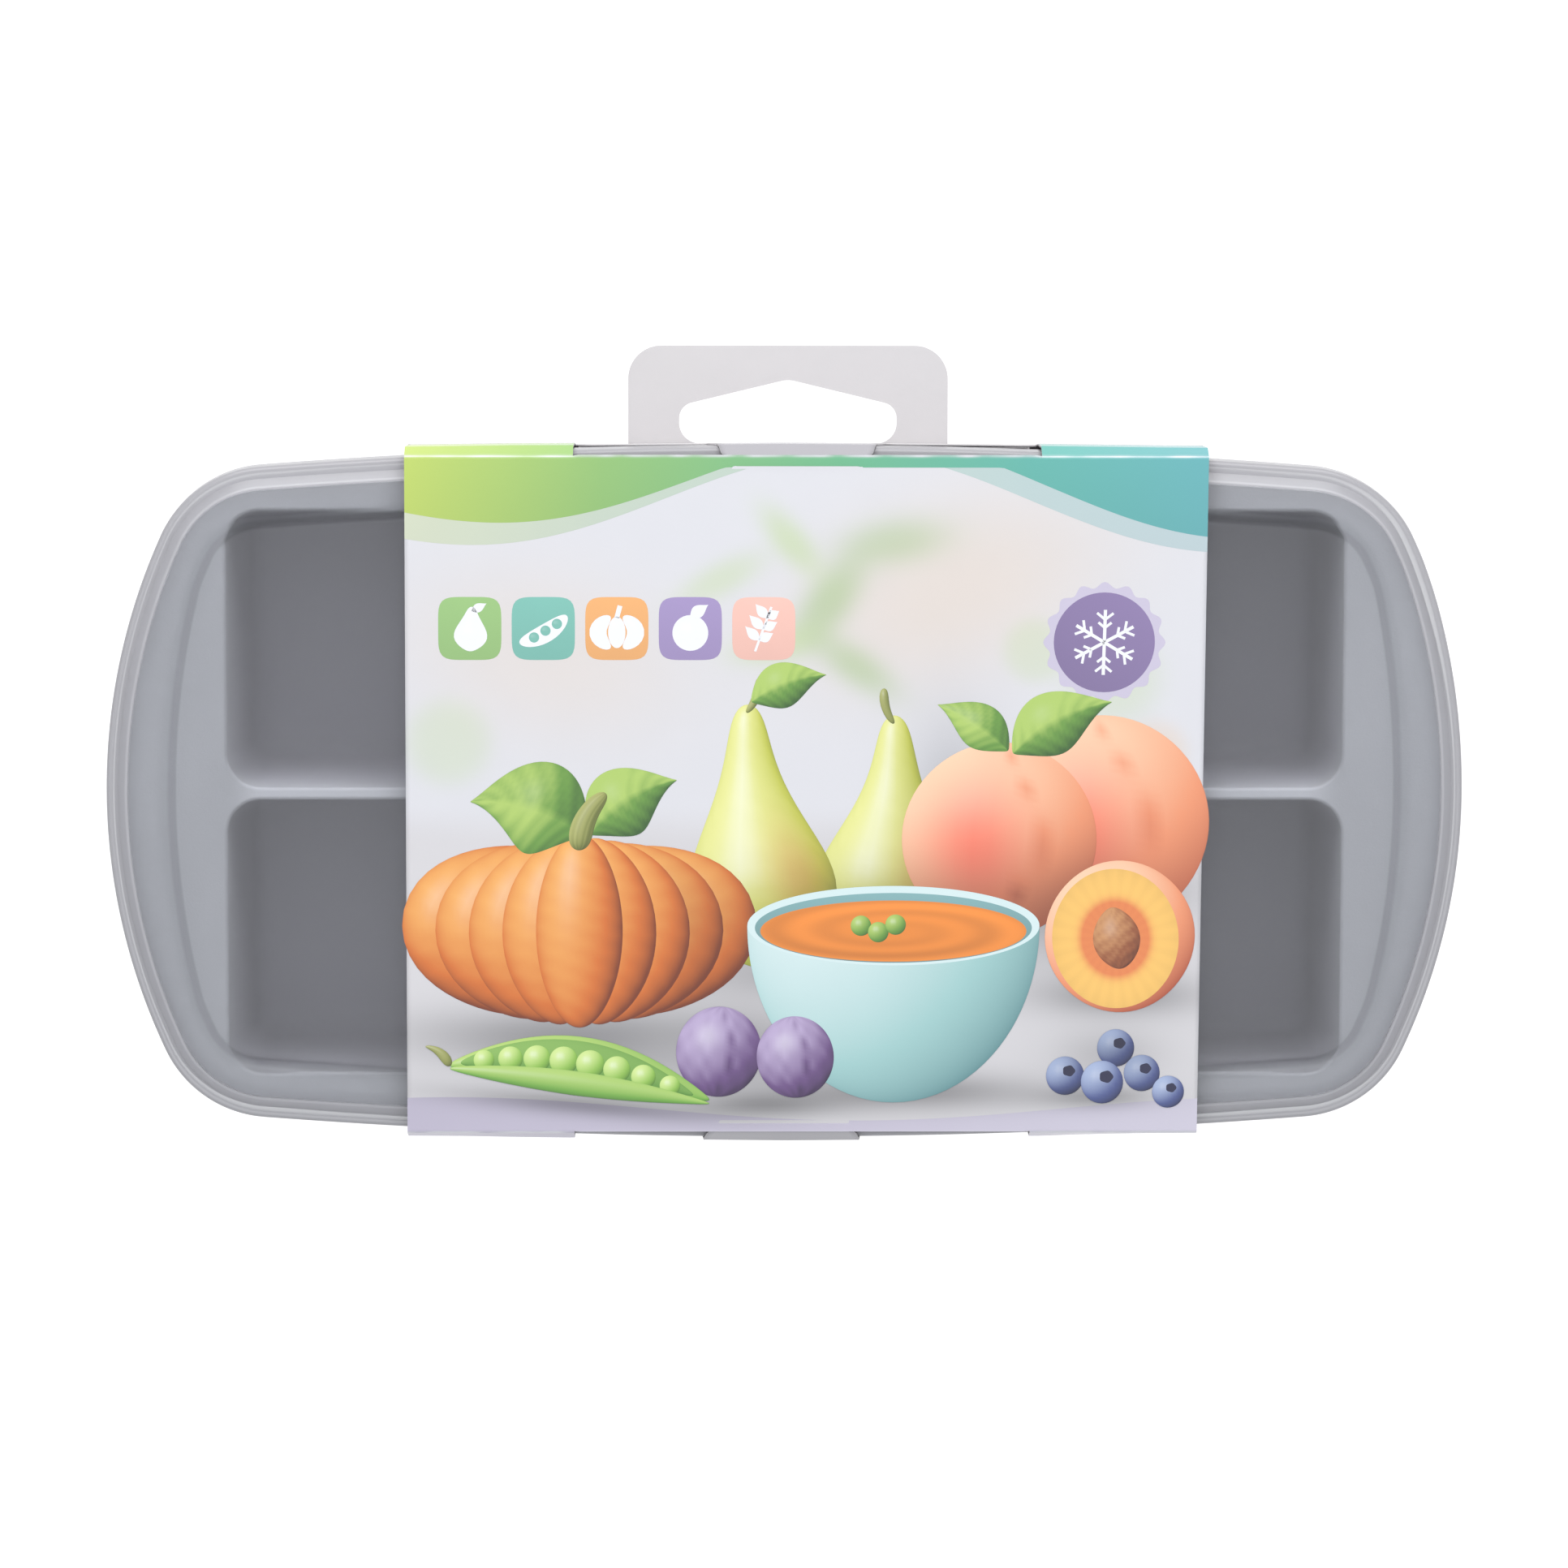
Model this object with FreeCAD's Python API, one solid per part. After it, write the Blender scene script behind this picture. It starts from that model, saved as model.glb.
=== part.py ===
import FreeCAD
import Part

import math
import os

"""Baby food freezer tray: a silicone tray of ten cells under a snap-over lid, in a folded card sleeve.

Millimetres. +X runs along the tray, +Y towards the hang tab, +Z up from the face it rests on.
The origin is the tray's centre on that face, under the card sleeve.
"""

V = FreeCAD.Vector
UP = V(0, 0, 1)
TOUCHING = 1e-6

# ---- driving dimensions -------------------------------------------------------------------------

# Plan outline of the lid: two long sides and two ends, all bowed, with a tight arc at each corner.
OUTLINE_HALF_LENGTH = 125.65
OUTLINE_HALF_WIDTH = 64.4
SIDE_BOW_RADIUS = 1121.0
END_BOW_RADIUS = 114.8
OUTLINE_CORNER_RADIUS = 22.0

# Cell grid, measured at the deck.
COLUMNS = 5
ROWS = 2
GRID_LENGTH = 206.3
GRID_WIDTH = 104.6
RIB = 2.2
CELL_CORNER_RADIUS = 6.2
CELL_FLOOR_RADIUS = 3.8
CELL_EDGE_RADIUS = 0.7
CELL_OVERRUN = 1.0
DRAFT = math.radians(3.5)

# Tray heights.
TRAY_BOTTOM = 0.8
CELL_FLOOR = 2.6
DECK = 39.3

# Tray body and flange.
BODY_WALL = 2.8
BODY_CORNER_RADIUS = 8.0
BODY_FOOT_RADIUS = 4.0
FLANGE_INSET = 1.7
FLANGE_THICKNESS = 4.2
FLANGE_TOP_RADIUS = 1.2
FLANGE_FOOT_RADIUS = 1.0
FLANGE_ROOT_RADIUS = 0.8

# Lid, with its heights counted from the deck.
LID_WALL = 1.1
LID_DRAFT_INSET = 0.2
LID_SKIRT_DEPTH = 5.0
LID_RIM_RISE = 1.4
LID_GROOVE_RISE = 1.0
LID_BAND_RISE = 3.9
LID_PANEL_RISE = 2.6
LID_CREASE_RISE = 2.25
LID_RIM_WIDTH = 2.5
LID_GROOVE_INSET = 2.8
LID_WALL_INSET = 3.5
LID_BAND_INSET = 4.2
LID_BAND_CREST = 1.6
LID_CREASE_INSET = 10.6
LID_PANEL_INSET = 11.8
LID_PANEL_MARGIN = 0.8
LID_SEAT_GAP = 0.3

# Card sleeve, as one section across Y and Z that runs along X.
CARD = 0.45
SLEEVE_LEFT = -69.9
SLEEVE_RIGHT = 77.0
SLEEVE_RIGHT_SLANT = 0.6 / 62.4
FOLD_HALF_WIDTH = 62.4
FOLD_HEIGHT = 44.2
SHOULDER_HALF_WIDTH = 64.7
SHOULDER_HEIGHT = 40.9
SEAM_HALF_WIDTH = 64.6
SEAM_HEIGHT = 31.0
SEAM_GAP = 0.15
BACK_HALF_WIDTH = 62.8
BEND_RADIUS = 0.5

# Windows in the sleeve's long sides, where the bowed rim shows, and the lock flaps in them.
CREASE_HALF_WIDTH = 62.5
WINDOW_LEFT = -39.0
WINDOW_RIGHT = {"upper": 47.0, "lower": 45.4}
TONGUE_CENTRE = {"upper": 2.1, "lower": -0.6}
FLAP_SIDE_GAP = 0.3
FLAP_FOOT = 0.7
FLAP_TOP = 32.0
FLAP_CORNER_RADIUS = 3.0
TONGUE_ROOT_WIDTH = 29.0
TONGUE_FOLD_WIDTH = 25.7
TONGUE_TIP_WIDTH = 23.5
TONGUE_ROOT_HEIGHT = 41.2
TONGUE_FOLD_HALF_WIDTH = 62.3
TONGUE_UNDERSIDE = 43.55
TONGUE_TIP_HALF_WIDTH = 60.9
TONGUE_TIP_RADIUS = 0.6

# Hang tab and its slot.
TAB_CENTRE = 0.9
TAB_WIDTH = 60.9
TAB_TOP = 81.7
TAB_CORNER_RADIUS = 6.3
SLOT_WIDTH = 41.5
SLOT_BOTTOM = 63.1
SLOT_SHOULDER = 70.3
SLOT_PEAK = 75.3
SLOT_END_RADIUS = 3.9
SLOT_SHOULDER_RADIUS = 3.1
SLOT_PEAK_RADIUS = 5.0

# How far a cutting shape runs past what it cuts.
CUT_MARGIN = 10.0


# ---- paths with rounded corners -----------------------------------------------------------------

def rounded_path(corners, place, closed=True):
    """Edges along corners (u, v, radius), with a tangent arc at each; place maps (u, v) to space."""
    marks = []
    for index, (u, v, radius) in enumerate(corners):
        here = V(u, v, 0)
        is_end = not closed and index in (0, len(corners) - 1)
        if radius == 0 or is_end:
            marks.append((here, None, here))
            continue
        before = V(*corners[index - 1][:2], 0) - here
        after = V(*corners[(index + 1) % len(corners)][:2], 0) - here
        before.normalize()
        after.normalize()
        half_angle = before.getAngle(after) / 2
        to_tangent = radius / math.tan(half_angle)
        bisector = before + after
        bisector.normalize()
        middle = here + bisector * (radius / math.sin(half_angle) - radius)
        marks.append((here + before * to_tangent, middle, here + after * to_tangent))

    edges = []
    for index, (start, middle, end) in enumerate(marks):
        if middle is not None:
            arc = Part.Arc(place(start.x, start.y), place(middle.x, middle.y), place(end.x, end.y))
            edges.append(arc.toShape())
        if not closed and index == len(marks) - 1:
            break
        following = marks[(index + 1) % len(marks)][0]
        if end.distanceToPoint(following) > TOUCHING:
            edges.append(Part.LineSegment(place(end.x, end.y), place(following.x, following.y)).toShape())
    return edges


def plate(corners, z_low, z_high):
    """A flat plate whose plan has the given rounded corners."""
    edges = rounded_path(corners, lambda u, v: V(u, v, z_low))
    return Part.Face(Part.Wire(edges)).extrude(V(0, 0, z_high - z_low))


def prism_along_y(corners, y_low, y_high):
    """A prism whose X-Z section has the given rounded corners."""
    edges = rounded_path(corners, lambda u, v: V(u, y_low, v))
    return Part.Face(Part.Wire(edges)).extrude(V(0, y_high - y_low, 0))


# ---- bodies that turn round a plan outline ------------------------------------------------------

# An outline is a list of arcs, anticlockwise, each as (centre, radius, first angle, last angle). Where
# one arc's end and the next one's start lie apart, a straight side runs between them.

def bowed_outline():
    """The lid's outline: four bowed sides and four corners, tangent to each other."""
    side_centre = V(0, OUTLINE_HALF_WIDTH - SIDE_BOW_RADIUS, 0)
    end_centre = V(OUTLINE_HALF_LENGTH - END_BOW_RADIUS, 0, 0)

    # The corner arc touches both bows from inside, so its centre is known by two distances.
    side_reach = SIDE_BOW_RADIUS - OUTLINE_CORNER_RADIUS
    end_reach = END_BOW_RADIUS - OUTLINE_CORNER_RADIUS
    between = end_centre - side_centre
    span = between.Length
    along = (side_reach**2 - end_reach**2 + span**2) / (2 * span)
    across = math.sqrt(side_reach**2 - along**2)
    between.normalize()
    corner = side_centre + between * along + V(between.y, -between.x, 0) * across

    turn_end = math.atan2(corner.y - end_centre.y, corner.x - end_centre.x)
    turn_side = math.atan2(corner.y - side_centre.y, corner.x - side_centre.x)
    half = math.pi
    mirror_corner = V(-corner.x, corner.y, 0)
    return [
        (end_centre, END_BOW_RADIUS, -turn_end, turn_end),
        (corner, OUTLINE_CORNER_RADIUS, turn_end, turn_side),
        (side_centre, SIDE_BOW_RADIUS, turn_side, half - turn_side),
        (mirror_corner, OUTLINE_CORNER_RADIUS, half - turn_side, half - turn_end),
        (-end_centre, END_BOW_RADIUS, half - turn_end, half + turn_end),
        (-corner, OUTLINE_CORNER_RADIUS, half + turn_end, half + turn_side),
        (-side_centre, SIDE_BOW_RADIUS, half + turn_side, 2 * half - turn_side),
        (-mirror_corner, OUTLINE_CORNER_RADIUS, 2 * half - turn_side, 2 * half - turn_end),
    ]


def rounded_rectangle(length, width, corner_radius, centre):
    """The outline of a rectangle with round corners."""
    outline = []
    for quarter, (x_sign, y_sign) in enumerate(((1, 1), (-1, 1), (-1, -1), (1, -1))):
        corner = V(x_sign * (length / 2 - corner_radius), y_sign * (width / 2 - corner_radius), 0)
        first = quarter * math.pi / 2
        outline.append((centre + corner, corner_radius, first, first + math.pi / 2))
    return outline


def arc_point(arc, angle, inset, z):
    """The point at an angle of an outline's arc, moved in by inset, at height z."""
    centre, radius, _, _ = arc
    return centre + V(math.cos(angle), math.sin(angle), 0) * (radius - inset) + V(0, 0, z)


def outline_face(outline, inset, z):
    """The flat face inside an outline, moved in by inset, at height z."""
    edges = []
    for arc, following in zip(outline, outline[1:] + outline[:1]):
        _, _, first, last = arc
        points = [arc_point(arc, angle, inset, z) for angle in (first, (first + last) / 2, last)]
        edges.append(Part.Arc(*points).toShape())
        start = arc_point(following, following[2], inset, z)
        if points[2].distanceToPoint(start) > TOUCHING:
            edges.append(Part.LineSegment(points[2], start).toShape())
    return Part.Face(Part.Wire(edges))


def outline_solid(outline, section):
    """A closed solid whose section (inset, z, radius) runs from its top face's edge to its bottom
    face's edge, turned about each arc's centre and drawn along the straight sides."""
    faces = [outline_face(outline, *section[0][:2]), outline_face(outline, *section[-1][:2])]
    for arc, following in zip(outline, outline[1:] + outline[:1]):
        centre, _, first, last = arc

        def band(angle):
            def place(inset, z):
                return arc_point(arc, angle, inset, z)
            return Part.Wire(rounded_path(section, place, closed=False))

        faces += band(first).revolve(centre, UP, math.degrees(last - first)).Faces
        side = arc_point(following, following[2], 0, 0) - arc_point(arc, last, 0, 0)
        if side.Length > TOUCHING:
            faces += band(last).extrude(side).Faces
    skin = Part.Compound(faces)
    skin.sewShape()
    solid = Part.Solid(skin.Shells[0])
    if solid.Volume < 0:
        solid.reverse()
    return solid


# ---- silicone tray ------------------------------------------------------------------------------

def is_level(edge, z):
    return edge.BoundBox.ZLength < 1e-3 and abs(edge.BoundBox.ZMin - z) < 1e-3


def draft_inset(z):
    """How far a drafted wall lies inside its place at the deck."""
    return (DECK - z) * math.tan(DRAFT)


def cell_centres():
    pitch_x = (GRID_LENGTH + RIB) / COLUMNS
    pitch_y = (GRID_WIDTH + RIB) / ROWS
    for row in range(ROWS):
        for column in range(COLUMNS):
            yield V((column - (COLUMNS - 1) / 2) * pitch_x, (row - (ROWS - 1) / 2) * pitch_y, 0)


def make_tray():
    """Body and flange in one moulding, with ten drafted cells."""
    under = DECK - FLANGE_THICKNESS
    inner = FLANGE_INSET + 2 * FLANGE_TOP_RADIUS
    flange = outline_solid(bowed_outline(), [
        (inner, DECK, 0),
        (FLANGE_INSET, DECK, FLANGE_TOP_RADIUS),
        (FLANGE_INSET, under, FLANGE_FOOT_RADIUS),
        (inner, under, 0),
    ])

    body_length = GRID_LENGTH + 2 * BODY_WALL
    body_width = GRID_WIDTH + 2 * BODY_WALL
    middle = DECK - FLANGE_THICKNESS / 2
    body_plan = rounded_rectangle(body_length, body_width, BODY_CORNER_RADIUS, V(0, 0, 0))
    body = outline_solid(body_plan, [
        (draft_inset(middle), middle, 0),
        (draft_inset(TRAY_BOTTOM), TRAY_BOTTOM, BODY_FOOT_RADIUS),
        (draft_inset(TRAY_BOTTOM) + BODY_FOOT_RADIUS, TRAY_BOTTOM, 0),
    ])
    tray = flange.fuse(body).removeSplitter()

    # A soft fillet where the body's wall meets the underside of the flange.
    root = [edge for edge in tray.Edges if is_level(edge, under)
            and abs(edge.CenterOfMass.x) < body_length / 2 and abs(edge.CenterOfMass.y) < body_width / 2]
    tray = tray.makeFillet(FLANGE_ROOT_RADIUS, root)

    # Each cell's edge is round, so what is cut out flares into the deck.
    cell_length = (GRID_LENGTH - (COLUMNS - 1) * RIB) / COLUMNS
    cell_width = (GRID_WIDTH - (ROWS - 1) * RIB) / ROWS
    flare = CELL_EDGE_RADIUS / math.tan((math.pi / 2 + DRAFT) / 2)
    for centre in cell_centres():
        cell_plan = rounded_rectangle(cell_length, cell_width, CELL_CORNER_RADIUS, centre)
        tray = tray.cut(outline_solid(cell_plan, [
            (-flare, DECK + CELL_OVERRUN, 0),
            (-flare, DECK, 0),
            (0, DECK, CELL_EDGE_RADIUS),
            (draft_inset(CELL_FLOOR), CELL_FLOOR, CELL_FLOOR_RADIUS),
            (draft_inset(CELL_FLOOR) + CELL_FLOOR_RADIUS, CELL_FLOOR, 0),
        ]))
    return tray.removeSplitter()


# ---- lid ----------------------------------------------------------------------------------------

def make_lid():
    """A thin lid that caps the flange: skirt, flat rim with a groove, raised band, sunken panel."""
    rim = DECK + LID_RIM_RISE
    groove = DECK + LID_GROOVE_RISE
    band = DECK + LID_BAND_RISE
    panel = DECK + LID_PANEL_RISE
    crease = DECK + LID_CREASE_RISE
    skirt_foot = DECK - LID_SKIRT_DEPTH
    seat = DECK + LID_SEAT_GAP
    band_inner = LID_BAND_INSET + LID_BAND_CREST
    panel_inner = LID_PANEL_INSET + LID_PANEL_MARGIN
    return outline_solid(bowed_outline(), [
        (panel_inner, panel, 0),
        (LID_PANEL_INSET, panel, 0.9),
        (LID_CREASE_INSET, crease, 0.9),
        (band_inner, band, 4.0),
        (LID_BAND_INSET, band, 0.7),
        (LID_WALL_INSET, groove, 0.35),
        (LID_GROOVE_INSET, groove, 0.2),
        (LID_RIM_WIDTH, rim, 0.3),
        (LID_DRAFT_INSET, rim, 1.0),
        (0, skirt_foot, 0.4),
        (LID_WALL, skirt_foot, 0.4),
        (LID_WALL + LID_DRAFT_INSET, seat, 0.3),
        (LID_WALL_INSET + LID_WALL, seat, 0.3),
        (LID_BAND_INSET + LID_WALL, band - LID_WALL, 0.5),
        (band_inner + 0.2, band - LID_WALL, 3.0),
        (LID_CREASE_INSET, crease - LID_WALL, 0.9),
        (LID_PANEL_INSET, panel - LID_WALL, 0.9),
        (panel_inner, panel - LID_WALL, 0),
    ])


# ---- card sleeve --------------------------------------------------------------------------------

def outer_corners(inner):
    """The corners one card thickness outside an inner line of corners that turns to the left."""
    shifted = []
    for (u, v, _), (u_next, v_next, _) in zip(inner, inner[1:]):
        along = V(u_next - u, v_next - v, 0)
        along.normalize()
        outward = V(along.y, -along.x, 0) * CARD
        shifted.append((V(u, v, 0) + outward, V(u_next, v_next, 0) + outward, along))

    corners = [(shifted[0][0].x, shifted[0][0].y, 0)]
    for (_, end, along), (start, _, along_next), corner in zip(shifted, shifted[1:], inner[1:]):
        gap = start - end
        reach = (gap.x * along_next.y - gap.y * along_next.x) / (along.x * along_next.y - along.y * along_next.x)
        meeting = end + along * reach
        corners.append((meeting.x, meeting.y, corner[2] + CARD))
    corners.append((shifted[-1][1].x, shifted[-1][1].y, 0))
    return corners


def card_strip(inner, x_low, x_high):
    """Folded card along X, from the corners (y, z, bend radius) of its inner face."""
    corners = inner + outer_corners(inner)[::-1]
    corners[0] = (*inner[0][:2], 0)
    corners[len(inner) - 1] = (*inner[-1][:2], 0)
    edges = rounded_path(corners, lambda u, v: V(x_low, u, v))
    return Part.Face(Part.Wire(edges)).extrude(V(x_high - x_low, 0, 0))


def mirrored(shape):
    return shape.mirror(V(0, 0, 0), V(0, 1, 0))


def crease_bead(inner, x_low, x_high):
    """The round edge that turns in a crease, along the middle of a strip's first edge."""
    inner_y, inner_z, _ = inner[0]
    outer_y, outer_z, _ = outer_corners(inner)[0]
    start = V(x_low, (inner_y + outer_y) / 2, (inner_z + outer_z) / 2)
    return Part.makeCylinder(CARD / 2, x_high - x_low, start, V(1, 0, 0))


def sleeve_cuts():
    """What lies right of the sleeve's slanted edge, and beyond the creases in its two windows."""
    reach = SHOULDER_HALF_WIDTH + CUT_MARGIN
    low = SLEEVE_RIGHT - reach * SLEEVE_RIGHT_SLANT
    high = SLEEVE_RIGHT + reach * SLEEVE_RIGHT_SLANT
    far = SLEEVE_RIGHT + 2 * CUT_MARGIN
    height = FOLD_HEIGHT + 2 * CUT_MARGIN
    cuts = [plate([(low, -reach, 0), (far, -reach, 0), (far, reach, 0), (high, reach, 0)],
                  -CUT_MARGIN, FOLD_HEIGHT + CUT_MARGIN)]
    for side, edge in (("upper", CREASE_HALF_WIDTH), ("lower", -CREASE_HALF_WIDTH - CUT_MARGIN)):
        width = WINDOW_RIGHT[side] - WINDOW_LEFT
        cuts.append(Part.makeBox(width, CUT_MARGIN, height, V(WINDOW_LEFT, edge, -CUT_MARGIN)))
    return cuts


def make_front_card():
    """The front panel, folded down at both long sides into a shoulder left and right of the windows."""
    right = [
        (SEAM_HALF_WIDTH, SEAM_HEIGHT, 0),
        (SHOULDER_HALF_WIDTH, SHOULDER_HEIGHT, BEND_RADIUS),
        (FOLD_HALF_WIDTH, FOLD_HEIGHT, BEND_RADIUS),
    ]
    left = [(-y, z, radius) for y, z, radius in right[::-1]]
    end = SLEEVE_RIGHT + CUT_MARGIN
    bead = crease_bead(right, SLEEVE_LEFT, end)
    card = card_strip(right + left, SLEEVE_LEFT, end).fuse([bead, mirrored(bead)])
    return card.cut(sleeve_cuts()).removeSplitter()


def make_back_card():
    """The back panel, folded up left and right of the windows to the seam under the shoulders."""
    seam = SEAM_HEIGHT - CARD / 2 - SEAM_GAP
    left = [(-SEAM_HALF_WIDTH, seam, 0), (-BACK_HALF_WIDTH, CARD, BEND_RADIUS)]
    right = [(-y, z, radius) for y, z, radius in left[::-1]]
    return card_strip(left + right, SLEEVE_LEFT, SLEEVE_RIGHT + CUT_MARGIN).cut(sleeve_cuts())


def make_hang_tab():
    """The back panel's plain ear, with a peaked slot that fits a round or a flat display hook."""
    half = TAB_WIDTH / 2
    tab = plate([
        (TAB_CENTRE - half, CREASE_HALF_WIDTH, 0),
        (TAB_CENTRE + half, CREASE_HALF_WIDTH, 0),
        (TAB_CENTRE + half, TAB_TOP, TAB_CORNER_RADIUS),
        (TAB_CENTRE - half, TAB_TOP, TAB_CORNER_RADIUS),
    ], 0, CARD)
    half = SLOT_WIDTH / 2
    slot = plate([
        (TAB_CENTRE - half, SLOT_BOTTOM, SLOT_END_RADIUS),
        (TAB_CENTRE + half, SLOT_BOTTOM, SLOT_END_RADIUS),
        (TAB_CENTRE + half, SLOT_SHOULDER, SLOT_SHOULDER_RADIUS),
        (TAB_CENTRE, SLOT_PEAK, SLOT_PEAK_RADIUS),
        (TAB_CENTRE - half, SLOT_SHOULDER, SLOT_SHOULDER_RADIUS),
    ], -CUT_MARGIN, CARD + CUT_MARGIN)
    return tab.cut(slot)


def make_lock_flap(side):
    """The side wall between the shoulders, whose tongue crosses the window over the lid's rim and
    tucks in behind the front panel."""
    left = WINDOW_LEFT + FLAP_SIDE_GAP
    right = WINDOW_RIGHT[side] - FLAP_SIDE_GAP
    centre = TONGUE_CENTRE[side]
    inner = [
        (BACK_HALF_WIDTH, FLAP_FOOT, 0),
        (SEAM_HALF_WIDTH, SEAM_HEIGHT, 0),
        (SHOULDER_HALF_WIDTH, TONGUE_ROOT_HEIGHT, BEND_RADIUS),
        (TONGUE_FOLD_HALF_WIDTH, TONGUE_UNDERSIDE, BEND_RADIUS),
        (TONGUE_TIP_HALF_WIDTH, TONGUE_UNDERSIDE, 0),
    ]
    flap = card_strip(inner, left, right).fuse(crease_bead(inner, left, right))

    root = TONGUE_ROOT_WIDTH / 2
    fold = TONGUE_FOLD_WIDTH / 2
    face = prism_along_y([
        (left, 0, 0),
        (right, 0, 0),
        (right, FLAP_TOP, FLAP_CORNER_RADIUS),
        (centre + root, FLAP_TOP, FLAP_CORNER_RADIUS),
        (centre + root, TONGUE_ROOT_HEIGHT, FLAP_CORNER_RADIUS),
        (centre + fold, TONGUE_UNDERSIDE, 0),
        (centre + fold, FOLD_HEIGHT, 0),
        (centre - fold, FOLD_HEIGHT, 0),
        (centre - fold, TONGUE_UNDERSIDE, 0),
        (centre - root, TONGUE_ROOT_HEIGHT, FLAP_CORNER_RADIUS),
        (centre - root, FLAP_TOP, FLAP_CORNER_RADIUS),
        (left, FLAP_TOP, FLAP_CORNER_RADIUS),
    ], BACK_HALF_WIDTH - CUT_MARGIN, SHOULDER_HALF_WIDTH + CUT_MARGIN)
    tip = TONGUE_TIP_WIDTH / 2
    plan = plate([
        (centre - tip, TONGUE_TIP_HALF_WIDTH, TONGUE_TIP_RADIUS),
        (centre + tip, TONGUE_TIP_HALF_WIDTH, TONGUE_TIP_RADIUS),
        (centre + fold, TONGUE_FOLD_HALF_WIDTH, 0),
        (right, TONGUE_FOLD_HALF_WIDTH, 0),
        (right, SHOULDER_HALF_WIDTH + CUT_MARGIN, 0),
        (left, SHOULDER_HALF_WIDTH + CUT_MARGIN, 0),
        (left, TONGUE_FOLD_HALF_WIDTH, 0),
        (centre - fold, TONGUE_FOLD_HALF_WIDTH, 0),
    ], 0, FOLD_HEIGHT)
    flap = flap.common(face).common(plan).removeSplitter()
    return flap if side == "upper" else mirrored(flap)


# ---- output -------------------------------------------------------------------------------------

def single_solid(shape):
    solids = shape.Solids
    if len(solids) != 1:
        raise ValueError(f"expected one solid, found {len(solids)}")
    return solids[0]


nodes = {
    "silicone_tray": make_tray(),
    "lid": make_lid(),
    "front_card": make_front_card(),
    "back_card": make_back_card(),
    "hang_tab": make_hang_tab(),
    "upper_lock_flap": make_lock_flap("upper"),
    "lower_lock_flap": make_lock_flap("lower"),
}

os.makedirs("parts", exist_ok=True)
for name, shape in nodes.items():
    solid = single_solid(shape)
    solid.exportStep(f"parts/{name}.step")
    box = solid.BoundBox
    print(f"{name}: valid {solid.isValid()}, {solid.Volume / 1000:.2f} cm3, "
          f"X {box.XMin:.2f} {box.XMax:.2f}, Y {box.YMin:.2f} {box.YMax:.2f}, Z {box.ZMin:.2f} {box.ZMax:.2f}")
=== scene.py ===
import math

import bpy
import numpy as np
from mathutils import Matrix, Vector


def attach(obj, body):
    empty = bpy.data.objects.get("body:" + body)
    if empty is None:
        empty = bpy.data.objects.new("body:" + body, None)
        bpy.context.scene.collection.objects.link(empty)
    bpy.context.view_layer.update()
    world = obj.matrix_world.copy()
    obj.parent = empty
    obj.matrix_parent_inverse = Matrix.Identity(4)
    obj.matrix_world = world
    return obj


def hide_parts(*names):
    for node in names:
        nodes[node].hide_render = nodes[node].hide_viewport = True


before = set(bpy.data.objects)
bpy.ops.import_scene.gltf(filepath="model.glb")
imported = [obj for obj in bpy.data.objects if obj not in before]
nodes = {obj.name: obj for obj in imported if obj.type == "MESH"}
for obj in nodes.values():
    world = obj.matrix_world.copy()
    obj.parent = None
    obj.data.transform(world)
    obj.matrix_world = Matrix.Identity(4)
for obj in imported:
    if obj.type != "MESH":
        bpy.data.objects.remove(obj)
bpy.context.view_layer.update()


# ---- Camera ---------------------------------------------------------------------------------------
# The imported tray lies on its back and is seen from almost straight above, a little from the side of
# the hang tab, with a long lens.
CAMERA_PLACE = (-0.01215, 0.11063, 1.1029)
CAMERA_TURN = (-0.1020, -0.0111, 0.0014)
FRAME_WIDTH_PX = 1932
FOCAL_PX = 7115.6
SENSOR_WIDTH_MM = 36.0

camera_data = bpy.data.cameras.new("camera")
camera_data.sensor_width = SENSOR_WIDTH_MM
camera_data.lens = FOCAL_PX * SENSOR_WIDTH_MM / FRAME_WIDTH_PX
camera_data.clip_start = 0.05
camera = bpy.data.objects.new("camera", camera_data)
camera.location = CAMERA_PLACE
camera.rotation_euler = CAMERA_TURN
scene = bpy.context.scene
scene.collection.objects.link(camera)
scene.camera = camera
scene.view_settings.view_transform = "Standard"


# ---- Light and floor ------------------------------------------------------------------------------
# A broad soft ceiling of light, a window lamp beyond the hang tab and a soft surround. The floor is a
# plain sheet that shows white to the camera and keeps the tray's shadow.
def new_material(name):
    """A material with an empty node tree, as (material, tree, output)."""
    material = bpy.data.materials.new(name)
    material.use_nodes = True
    material.node_tree.nodes.clear()
    return material, material.node_tree, material.node_tree.nodes.new("ShaderNodeOutputMaterial")


def add_node(tree, kind, inputs=(), **settings):
    """Adds a shader node with the given settings. inputs gives each socket, by its name or number, a
    value of its own or another node's output, which is then linked to it."""
    node = tree.nodes.new("ShaderNode" + kind)
    for setting, value in settings.items():
        setattr(node, setting, value)
    for socket, value in dict(inputs).items():
        if isinstance(value, bpy.types.NodeSocket):
            tree.links.new(value, node.inputs[socket])
        else:
            node.inputs[socket].default_value = value
    return node


def area_lamp(name, place, aim, width, height, watts):
    """A rectangular lamp at place that faces the point aim."""
    data = bpy.data.lights.new(name, "AREA")
    data.shape = "RECTANGLE"
    data.size = width
    data.size_y = height
    data.energy = watts
    lamp = bpy.data.objects.new(name, data)
    lamp.location = place
    lamp.rotation_euler = (Vector(aim) - Vector(place)).to_track_quat("-Z", "Y").to_euler()
    scene.collection.objects.link(lamp)


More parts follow.
